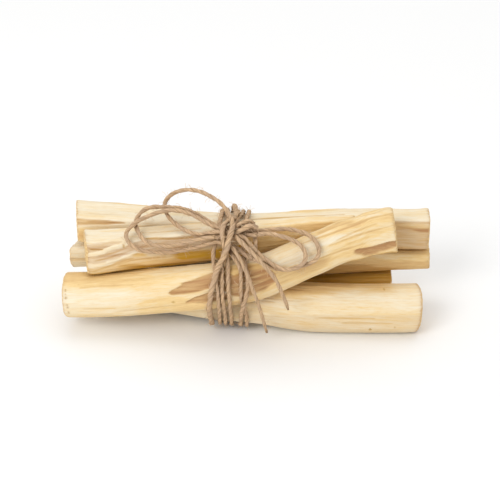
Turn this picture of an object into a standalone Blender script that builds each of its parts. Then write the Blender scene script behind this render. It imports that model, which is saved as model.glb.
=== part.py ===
"""A bundle of six hand-split palo santo sticks, bound with one length of jute twine tied in a bow.

Sizes are in millimetres and are scaled to metres where a mesh is made. X runs along the bundle, Y away from
its front and Z up from the surface that it lies on. A stick is a loft through cross-sections, each a list of
(y, z) corners; the twine is a tube, wound on the sticks' common outline and then led through the bow.
"""

import math

import bpy
import numpy as np

MM = 0.001
BUNDLE_CENTRE = (0.28, 8.05)  # x and y of the middle of the tied sticks' footprint, which becomes the origin

TWINE_DIAMETER = 1.5
TOUCH_GAP = 0.3  # left between pieces that touch
WINDING_SLACK = 0.1  # and this much more under the wound turns, whose path is a chain of short straight steps
TUBE_SIDES_SETTING = 2  # a curve's bevel_resolution of 2 makes an eight-sided tube
FACE_TILT = math.radians(30)  # the bundle's front leans back by this much, and the bow lies on it

# Where a loft's cross-sections lie between its two ends, closer together where the twine bends the sticks.
RING_PLACES = (-44, -36, -28.5, -22, -17, -13.5, -10.5, -7.5, -4.5, -1.5, 1.5, 6, 11.5, 18, 27, 38)
CORNER_STEPS = 3  # points on each rounded corner of a cross-section
END_EDGE = 0.6  # how far a sawn end's worn edge reaches along the stick
END_INSET = 0.93  # size of the end face beside the full section
END_REACH = 10.0  # how far along the stick the lean of its end face fades out

WOOD = {"colour": (0.86, 0.69, 0.44, 1.0), "roughness": 0.6}
JUTE = {"colour": (0.55, 0.42, 0.30, 1.0), "roughness": 0.9}


def leaning(y, z, through, up, outline):
    """Corners of a section centred on (y, z) whose own axes lean back by FACE_TILT."""
    c, s = math.cos(FACE_TILT), math.sin(FACE_TILT)
    return [(y + t * through * c + u * up * s, z - t * through * s + u * up * c) for t, u in outline]


def upright(y, z, across, up, outline):
    """Corners of a section centred on (y, z) whose own axes are Y and Z."""
    return [(y + a * across, z + b * up) for a, b in outline]


def mixed(first, second, share):
    """The outline that lies between two others with as many corners."""
    return [tuple((1 - share) * a + share * b for a, b in zip(p, q)) for p, q in zip(first, second)]


# Unit outlines, as (through, up), from the bottom front corner round by the back.
LOG = [(-0.58, -1.04), (0.58, -1.04), (1.06, -0.45), (1.05, 0.48), (0.46, 1.05), (-0.5, 1.04), (-1.06, 0.42), (-1.05, -0.5)]
SLAB = [(-0.50, -1.04), (0.55, -1.04), (1.06, -0.5), (1.06, 0.5), (0.55, 1.04), (-0.5, 1.0), (-1.08, 0.55), (-1.08, -0.45)]
TORN_SLAB = [(-0.15, -1.04), (0.55, -1.04), (1.06, -0.5), (1.06, 0.5), (0.55, 1.04), (-0.5, 1.05), (-1.08, 0.55), (-1.0, -0.02)]

# Each stick: corner radius, how far each end face leans (mm of x per mm of y and of z), and its sections by x.
STICKS = {
    "stick_front_lower": {
        "radius": 2.7,
        "lean": ((0.0, 0.0), (0.06, 0.0)),
        "sections": [
            (-43.5, upright(11.1, 4.75, 4.7, 4.7, LOG)),
            (-33.0, upright(10.1, 5.7, 4.8, 4.9, LOG)),
            (-22.0, upright(6.6, 7.2, 4.9, 5.0, LOG)),
            (-10.5, upright(2.7, 7.75, 5.3, 5.1, LOG)),
            (-4.0, upright(1.6, 7.95, 5.6, 5.25, LOG)),
            (4.2, upright(1.1, 7.9, 6.0, 5.6, LOG)),
            (15.0, upright(0.5, 6.9, 6.3, 6.4, LOG)),
            (29.0, upright(0.0, 6.5, 6.4, 6.4, LOG)),
            (49.2, upright(0.0, 6.5, 6.4, 6.4, LOG)),
        ],
    },
    "stick_front_crossing": {
        "radius": 3.0,
        "lean": ((0.0, 0.0), (0.0, -0.14)),
        "sections": [
            (-51.5, leaning(1.3, 10.1, 5.2, 6.2, SLAB)),
            (-36.0, leaning(-0.1, 11.3, 5.2, 6.2, mixed(SLAB, TORN_SLAB, 0.1))),
            (-22.0, leaning(-2.3, 13.9, 5.0, 6.1, mixed(SLAB, TORN_SLAB, 0.6))),
            (-10.0, leaning(-4.6, 16.4, 4.7, 6.1, TORN_SLAB)),
            (-3.0, leaning(-4.8, 17.8, 4.6, 6.0, TORN_SLAB)),
            (4.2, leaning(-3.9, 19.1, 4.6, 5.9, TORN_SLAB)),
            (14.6, leaning(-1.5, 22.9, 4.6, 5.8, mixed(SLAB, TORN_SLAB, 0.8))),
            (27.0, leaning(1.3, 27.5, 4.5, 5.7, mixed(SLAB, TORN_SLAB, 0.5))),
            (41.0, leaning(4.0, 30.0, 4.3, 6.0, mixed(SLAB, TORN_SLAB, 0.3))),
        ],
    },
    "stick_front_upper": {
        "radius": 1.3,
        "lean": ((-0.18, 0.0), (0.0, 0.0)),
        "sections": [
            (-45.2, [(-0.9, 16.9), (8.4, 16.9), (9.4, 20.5), (9.5, 26.9), (0.3, 26.8), (-0.3, 20.6)]),
            (-27.0, [(1.2, 18.4), (8.8, 18.2), (9.6, 22.0), (9.3, 28.0), (1.0, 28.1), (0.6, 22.4)]),
            (-10.0, [(2.0, 19.9), (8.9, 19.4), (9.5, 23.4), (9.1, 30.0), (2.1, 29.9), (2.0, 24.6)]),
            (2.5, [(4.0, 21.2), (9.2, 20.9), (9.3, 24.8), (9.0, 30.5), (3.1, 30.2), (3.2, 25.6)]),
            (14.6, [(5.6, 22.2), (9.6, 22.0), (10.1, 26.0), (10.1, 31.1), (5.0, 30.6), (5.1, 26.4)]),
            (29.5, [(8.2, 23.4), (10.3, 23.3), (10.6, 26.6), (10.5, 31.4), (7.9, 30.8), (8.0, 27.0)]),
        ],
    },
    "stick_rear_upper": {
        "radius": 1.2,
        "lean": ((-0.1, 0.0), (0.04, 0.0)),
        "sections": [
            (-48.8, [(11.0, 20.8), (22.4, 20.3), (23.8, 24.6), (23.4, 28.9), (11.0, 29.0)]),
            (-30.0, [(10.9, 20.4), (21.4, 19.9), (22.6, 24.4), (21.8, 28.5), (10.8, 28.6)]),
            (-9.0, [(10.5, 19.7), (20.0, 18.8), (20.8, 23.2), (18.6, 27.4), (10.1, 28.8)]),
            (3.0, [(10.5, 19.3), (19.8, 18.4), (20.4, 22.8), (18.2, 27.2), (10.0, 28.8)]),
            (15.0, [(10.7, 19.1), (19.9, 18.3), (20.6, 22.8), (19.2, 27.7), (10.9, 28.7)]),
            (30.0, [(11.0, 18.9), (20.0, 18.5), (20.9, 22.8), (20.0, 28.2), (11.3, 28.5)]),
            (51.9, [(11.0, 18.4), (20.1, 18.5), (20.8, 23.0), (20.0, 28.3), (11.0, 28.3)]),
        ],
    },
    "stick_rear_middle": {
        "radius": 1.5,
        "lean": ((0.24, 0.0), (0.0, 0.06)),
        "sections": [
            (-49.6, [(12.6, 12.0), (19.6, 13.0), (20.4, 18.0), (11.0, 19.7), (10.6, 14.9)]),
            (-30.0, [(11.8, 12.4), (18.8, 12.9), (20.0, 18.6), (10.8, 19.5), (10.4, 15.4)]),
            (-9.0, [(10.8, 11.2), (18.4, 12.6), (19.6, 18.0), (10.5, 18.8), (9.8, 15.0)]),
            (3.0, [(10.4, 10.8), (18.2, 12.6), (19.4, 17.6), (10.5, 18.4), (9.7, 14.6)]),
            (18.0, [(9.9, 10.1), (18.0, 12.4), (19.6, 17.5), (10.6, 18.2), (9.6, 14.2)]),
            (30.0, [(9.9, 11.2), (18.0, 12.9), (19.8, 17.7), (10.9, 18.1), (9.9, 14.6)]),
            (51.8, [(10.7, 12.3), (18.4, 13.2), (19.8, 17.4), (11.0, 17.5), (10.4, 14.9)]),
        ],
    },
    "stick_rear_lower": {
        "radius": 2.8,
        "lean": ((0.0, 0.0), (0.0, 0.0)),
        "sections": [
            (-41.5, upright(21.6, 5.0, 4.9, 5.0, LOG)),
            (-33.0, upright(20.6, 5.2, 4.8, 4.9, LOG)),
            (-22.0, upright(17.3, 6.0, 4.7, 4.8, LOG)),
            (-9.0, upright(13.8, 6.55, 4.4, 4.2, LOG)),
            (3.0, upright(12.8, 6.5, 4.4, 4.0, LOG)),
            (18.0, upright(12.7, 5.1, 4.7, 4.7, LOG)),
            (30.0, upright(12.7, 5.4, 5.3, 5.3, LOG)),
            (41.5, upright(12.8, 5.5, 5.5, 5.5, LOG)),
        ],
    },
}

# Where the turns of twine cross the bundle, as x at the top of each turn and where it next passes below.
TURN_TOPS = (-9.0, -7.2, -5.4, -3.6, -1.8, 0.0)
TURN_BOTTOMS = (-11.7, -9.9, -8.1, -6.3, -4.5, -1.6, 0.2)
OUTLINE_STEP = 10  # degrees between two points on a turn
SHORTEST_STEP = 0.65  # between two points of the wound path

# The bow, as (across, up, toward): across and up lie in the leaning front face, toward points out of it.
KNOT = {"centre": (-2.4, 25.4, 18.3), "size": (4.2, 3.4, 2.2)}
BOW = {
    "bow_loop_left_tall": [
        (-4.3, 30.4, 17.4), (-5.3, 32.5, 16.0), (-7.3, 34.8, 14.6), (-9.9, 36.6, 13.2), (-12.8, 38.0, 11.8),
        (-15.8, 38.6, 10.4), (-18.9, 38.3, 9.2), (-21.2, 37.2, 8.2), (-22.5, 35.4, 7.3), (-22.4, 33.5, 7.2),
        (-21.7, 31.6, 8.6), (-20.4, 29.9, 10.6), (-18.6, 28.3, 12.2), (-16.0, 26.8, 14.0), (-13.0, 25.7, 15.4),
        (-10.0, 25.3, 16.8), (-7.8, 25.0, 18.2),
    ],
    "bow_loop_left_wide": [
        (-6.9, 27.4, 17.6), (-9.8, 29.4, 15.4), (-13.0, 31.0, 13.4), (-15.7, 31.9, 12.2), (-18.5, 32.4, 11.4),
        (-21.8, 32.5, 11.2), (-24.8, 32.0, 11.4), (-27.5, 31.0, 11.8), (-30.0, 29.8, 12.4), (-32.2, 28.3, 13.0),
        (-33.2, 26.5, 13.6), (-32.8, 24.6, 14.6), (-31.3, 23.0, 14.6), (-29.0, 21.9, 14.2), (-26.2, 21.4, 13.8),
        (-23.2, 21.1, 13.4), (-20.0, 21.4, 13.2), (-16.7, 22.0, 13.4), (-13.4, 22.9, 14.2), (-10.6, 23.4, 16.2),
        (-8.0, 23.2, 18.0),
    ],
    "bow_loop_left_inner": [
        (-6.7, 29.2, 16.0), (-10.2, 31.0, 13.2), (-13.6, 32.4, 11.2), (-16.5, 33.2, 9.8), (-19.8, 33.7, 9.2),
        (-23.2, 33.9, 9.2), (-26.3, 33.7, 9.0), (-28.4, 32.8, 9.2), (-30.0, 31.2, 9.6), (-30.8, 29.2, 10.4),
        (-30.2, 27.3, 12.0), (-29.0, 25.6, 13.8), (-27.6, 24.0, 15.2), (-25.2, 23.2, 15.5), (-22.4, 23.1, 15.3),
        (-19.4, 23.5, 15.1), (-16.6, 24.0, 15.3), (-13.8, 24.3, 16.3), (-11.2, 24.2, 18.0), (-8.8, 24.0, 19.8),
    ],
    "bow_loop_right_outer": [
        (2.2, 27.0, 17.6), (5.0, 27.2, 16.6), (8.0, 27.3, 16.0), (11.4, 27.2, 16.0), (14.4, 26.6, 16.8),
        (17.0, 25.5, 17.8), (19.0, 24.0, 18.5), (20.2, 22.2, 18.8), (20.2, 20.3, 18.9), (19.0, 18.7, 18.9),
        (17.0, 17.6, 18.8), (14.6, 16.6, 18.7), (12.0, 15.9, 18.6), (9.6, 15.8, 18.8), (7.4, 16.8, 18.9),
        (5.2, 18.3, 18.8), (3.0, 19.8, 18.5), (1.2, 21.2, 18.3),
    ],
    "bow_loop_right_inner": [
        (2.7, 25.2, 19.0), (5.2, 25.4, 18.6), (7.6, 25.1, 18.6), (9.8, 24.5, 18.7), (12.1, 23.7, 18.9),
        (14.1, 22.5, 19.2), (15.5, 21.0, 19.6), (16.0, 19.2, 20.1), (15.0, 17.6, 20.6), (12.6, 16.9, 20.6),
        (10.0, 17.3, 20.0), (7.8, 18.5, 19.6), (5.8, 20.1, 19.3), (4.0, 21.6, 19.1), (2.6, 22.8, 19.0),
    ],
    "twine_tail_long": [
        (-1.3, 20.8, 20.6), (-0.8, 19.6, 20.7), (0.2, 16.8, 20.8), (1.1, 13.6, 20.4), (2.0, 10.4, 19.6),
        (3.0, 7.4, 18.0), (4.0, 4.2, 15.4), (4.8, 1.4, 12.4), (5.5, -1.0, 9.6),
    ],
    "twine_tail_short": [
        (0.9, 21.2, 21.8), (2.6, 19.9, 22.0), (4.4, 18.2, 22.2), (6.2, 16.0, 21.6), (7.8, 13.8, 20.8),
        (8.9, 11.6, 19.8), (9.8, 9.4, 18.4), (10.7, 7.4, 16.8), (11.3, 5.6, 15.2),
    ],
}


def between(keys, values, at):
    """Values at any x, on a smooth curve through those given at the keys."""
    keys, values = np.array(keys, float), np.array(values, float)
    slopes = np.gradient(values, keys, axis=0)
    i = np.clip(np.searchsorted(keys, at) - 1, 0, len(keys) - 2)
    span = keys[i + 1] - keys[i]
    t = ((at - keys[i]) / span)[:, None, None]
    span = span[:, None, None]
    return (
        (2 * t**3 - 3 * t**2 + 1) * values[i]
        + (t**3 - 2 * t**2 + t) * span * slopes[i]
        + (3 * t**2 - 2 * t**3) * values[i + 1]
        + (t**3 - t**2) * span * slopes[i + 1]
    )


def rounded(corners, radius):
    """A section's outline, with each corner rounded by a curve that starts and ends radius away from it."""
    before, after = np.roll(corners, 1, axis=0) - corners, np.roll(corners, -1, axis=0) - corners
    points = []
    for corner, back, on in zip(corners, before, after):
        start = corner + back * min(0.45, radius / np.linalg.norm(back))
        end = corner + on * min(0.45, radius / np.linalg.norm(on))
        for t in np.linspace(0, 1, CORNER_STEPS):
            points.append((1 - t) ** 2 * start + 2 * t * (1 - t) * corner + t**2 * end)
    return np.array(points)


def sections_at(stick, at):
    """The rounded outlines of a stick at several x, all with as many points."""
    keys = [x for x, _ in stick["sections"]]
    corners = between(keys, [c for _, c in stick["sections"]], np.array(at, float))
    corners[:, :, 1] = np.maximum(corners[:, :, 1], 0.0)  # what would go below the surface is worn flat on it
    return [rounded(c, stick["radius"]) for c in corners]


def material(name, look):
    made = bpy.data.materials.new(name)
    made.use_nodes = True
    shader = made.node_tree.nodes["Principled BSDF"]
    shader.inputs["Base Color"].default_value = look["colour"]
    shader.inputs["Roughness"].default_value = look["roughness"]
    shader.inputs["Metallic"].default_value = 0.0
    return made


def in_metres(points):
    shift = np.array([BUNDLE_CENTRE[0], BUNDLE_CENTRE[1], 0.0])
    return (np.array(points, float) - shift) * MM


def make_stick(name, stick, wood):
    """Lofts a stick through its sections and closes both sawn ends."""
    keys = [x for x, _ in stick["sections"]]
    first, last = keys[0], keys[-1]
    inner = [x for x in RING_PLACES if first + 2 < x < last - 2]
    places = [first, first + END_EDGE, *inner, last - END_EDGE, last]
    rings = []
    for x, ring in zip(places, sections_at(stick, places)):
        middle = ring.mean(axis=0)
        if x in (first, last):
            ring = middle + (ring - middle) * END_INSET
        lean = np.array(stick["lean"][0 if x < (first + last) / 2 else 1])
        near_end = max(0.0, 1 - min(x - first, last - x) / END_REACH)
        rings.append([(x + near_end * float(lean @ (p - middle)), *p) for p in ring])
    around = len(rings[0])
    faces = [tuple(reversed(range(around))), tuple(range((len(rings) - 1) * around, len(rings) * around))]
    for r in range(len(rings) - 1):
        for a in range(around):
            b = (a + 1) % around
            faces.append((r * around + a, r * around + b, (r + 1) * around + b, (r + 1) * around + a))
    mesh = bpy.data.meshes.new(name)
    mesh.from_pydata(in_metres([p for ring in rings for p in ring]), [], faces)
    mesh.materials.append(wood)
    mesh.shade_smooth()
    mesh.set_sharp_from_angle(angle=math.radians(35))
    stick_object = bpy.data.objects.new(name, mesh)
    bpy.context.scene.collection.objects.link(stick_object)
    return stick_object


def bundle_outline(x, offset):
    """Points round all the sticks at x, that far out from them, from below by the back to the top and the front."""
    reach = [s for s in STICKS.values() if s["sections"][0][0] < x < s["sections"][-1][0]]
    points = np.concatenate([sections_at(stick, [x])[0] for stick in reach])
    outline = []
    for degrees in range(-90, 271, OUTLINE_STEP):
        direction = np.array([math.cos(math.radians(degrees)), math.sin(math.radians(degrees))])
        furthest = points[np.argmax(points @ direction)]
        outline.append(furthest + offset * direction)
    return np.array(outline)


def along(points):
    """How far along a line each of its points lies, from 0 to 1."""
    steps = np.linalg.norm(np.diff(points, axis=0), axis=1)
    return np.concatenate([[0], np.cumsum(steps)]) / steps.sum()


def wound_twine():
    """The twine's turns round the bundle: up the back and down the front, one beside the other."""
    half = 180 // OUTLINE_STEP
    offset = TWINE_DIAMETER / 2 + TOUCH_GAP + WINDING_SLACK
    path = []
    for turn, top in enumerate(TURN_TOPS):
        below, next_below = TURN_BOTTOMS[turn], TURN_BOTTOMS[turn + 1]
        rough = bundle_outline(top, offset)
        up, down = along(rough[: half + 1]), along(rough[half:])
        places = [below + (top - below) * s for s in up] + [top + (next_below - top) * s for s in down[1:]]
        for i, x in enumerate(places):
            y, z = bundle_outline(x, offset)[i]
            if not path or np.linalg.norm(np.array([x, y, z]) - path[-1]) > SHORTEST_STEP:
                path.append(np.array([x, y, z]))
    return path


def in_bundle(across, up, toward):
    """A point of the leaning front face, in the bundle's x, y and z."""
    c, s = math.cos(FACE_TILT), math.sin(FACE_TILT)
    return np.array([across, up * s - toward * c, up * c + toward * s])


def smooth_line(points):
    """A line through the points with one more in each gap, on a smooth curve."""
    points = np.array(points, float)
    keys = np.arange(len(points), dtype=float)
    at = np.linspace(0, len(points) - 1, 2 * len(points) - 1)
    return between(keys, points[:, None, :], at)[:, 0, :]


def make_tube(name, points, jute):
    curve = bpy.data.curves.new(name, "CURVE")
    curve.dimensions = "3D"
    curve.bevel_depth = TWINE_DIAMETER / 2 * MM
    curve.bevel_resolution = TUBE_SIDES_SETTING
    curve.use_fill_caps = True
    spline = curve.splines.new("POLY")
    spline.points.add(len(points) - 1)
    for point, place in zip(spline.points, in_metres(points)):
        point.co = (*place, 1.0)
    curve.materials.append(jute)
    tube = bpy.data.objects.new(name, curve)
    bpy.context.scene.collection.objects.link(tube)
    return tube


def make_knot(jute):
    """The knot as one lump: a ball pressed to the knot's size, leaning with the bundle's front."""
    bpy.ops.mesh.primitive_uv_sphere_add(segments=14, ring_count=8)
    knot = bpy.context.object
    knot.name = knot.data.name = "twine_knot"
    size = np.array(KNOT["size"])
    for vertex in knot.data.vertices:
        vertex.co = in_metres(in_bundle(*(np.array(KNOT["centre"]) + np.array(vertex.co) * size)))
    knot.data.shade_smooth()
    knot.data.materials.append(jute)
    return knot


def main():
    for old in list(bpy.data.objects):
        bpy.data.objects.remove(old)
    wood, jute = material("palo_santo", WOOD), material("jute_twine", JUTE)
    for name, stick in STICKS.items():
        make_stick(name, stick, wood)
    make_tube("twine_wraps", wound_twine(), jute)
    make_knot(jute)
    for name, points in BOW.items():
        make_tube(name, [in_bundle(*p) for p in smooth_line(points)], jute)


main()
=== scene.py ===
"""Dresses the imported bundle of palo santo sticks: split and sawn wood, and jute twine tied in a bow.

Lengths are in millimetres and in the frame's own axes, and are scaled to metres where a mesh is made.
Places on the bundle's front are (across, up, toward): across and up lie in a plane that leans back by
FACE_TILT, and toward points out of it.
"""

import functools
import math

import bpy
import numpy as np
from bpy.props import FloatProperty, FloatVectorProperty, IntProperty, PointerProperty
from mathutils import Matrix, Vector
from mathutils.bvhtree import BVHTree


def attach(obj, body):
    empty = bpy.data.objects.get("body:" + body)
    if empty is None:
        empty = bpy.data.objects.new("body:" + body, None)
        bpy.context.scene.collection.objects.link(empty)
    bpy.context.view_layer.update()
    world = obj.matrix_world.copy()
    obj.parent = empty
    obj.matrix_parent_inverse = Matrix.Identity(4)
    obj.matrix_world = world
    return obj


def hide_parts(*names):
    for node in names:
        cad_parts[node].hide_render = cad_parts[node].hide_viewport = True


bl_info = {
    "name": "Palo Santo Bundle",
    "version": (1, 0, 0),
    "blender": (4, 5, 0),
    "location": "View3D > Sidebar > Bundle",
    "description": "Split palo santo sticks tied with a bow of jute twine",
    "category": "Add Mesh",
}

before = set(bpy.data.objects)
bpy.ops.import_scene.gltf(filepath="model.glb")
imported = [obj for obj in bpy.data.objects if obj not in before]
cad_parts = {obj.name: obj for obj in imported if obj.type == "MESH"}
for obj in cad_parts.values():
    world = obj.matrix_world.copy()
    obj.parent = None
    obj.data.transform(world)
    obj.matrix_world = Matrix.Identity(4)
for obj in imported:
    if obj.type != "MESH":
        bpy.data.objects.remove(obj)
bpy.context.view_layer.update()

MM = 0.001
FULL_TURN = 2 * math.pi
FACE_TILT = math.radians(30)
FRONT = np.array([0.0, -math.cos(FACE_TILT), math.sin(FACE_TILT)])  # out of the bundle's front
UPWARD = np.array([0.0, math.sin(FACE_TILT), math.cos(FACE_TILT)])  # up in the bundle's front
BUNDLE_CENTRE = (0.28, 8.05)  # the origin, in the x and y that the routes are given in

RINGS = 260  # along each stick
STEPS = 176  # round each stick
END_RINGS = 12  # from the edge of a sawn end to its middle
NEAR = 4.0  # within this of another stick, a stick's wood is darker with painted shade
NEAR_STEP = 2  # every so many rings and steps, the gap to the other sticks is measured
PITH = 13.0  # from a split stick's middle to the middle of its growth rings
END_MARGIN = 2.5  # this near its ends a CAD solid is worn, and its section is read from further in
MIDDLE_REACH = 5.0  # how far along a stick its corners count for its middle
BLUR_RINGS, BLUR_STEPS = 3.5, 1.7  # how many rings and steps the solid's facets are smoothed over
END_SPOTS = (3.0, 1.5)  # how far from its middle a sawn end's slant is measured
LATTICE = 256  # rows of random values under a noise

# The distance taken where a ray doesn't meet a stick's solid. That happens at two sawn ends, the right ones
# of stick_front_upper and stick_rear_middle, and makes them 0.9 and 0.6 mm longer than their solids.
MISSED = 5.0

# How pale each stick's wood is at its left and right ends, 1 for pale, 0 for warm yellow and -1 for tan,
# and how streaky it is.
STICK_TONES = {
    "stick_front_lower": (0.62, 0.66, 0.45),
    "stick_front_crossing": (0.53, 0.20, 0.70),
    "stick_front_upper": (0.95, 0.70, 0.5),
    "stick_rear_upper": (1.0, 0.62, 0.55),
    # Its left end's full paleness is partly painted light, lifting the shade that the sticks round it cast
    # there.
    "stick_rear_middle": (1.0, 0.0, 0.4),
    "stick_rear_lower": (0.0, -0.5, 1.0),
}

# How far the sawn ends at a stick's left and right are worn back at their top and bottom.
WORN_BACK = {"stick_front_lower": (0.3, 1.25), "stick_front_crossing": (1.0, 0.2)}

# How brown the edge of a stick's sawn ends is.
EDGE_BROWN = {"stick_front_lower": 1.3}
USUAL_EDGE_BROWN = 0.45
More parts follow.
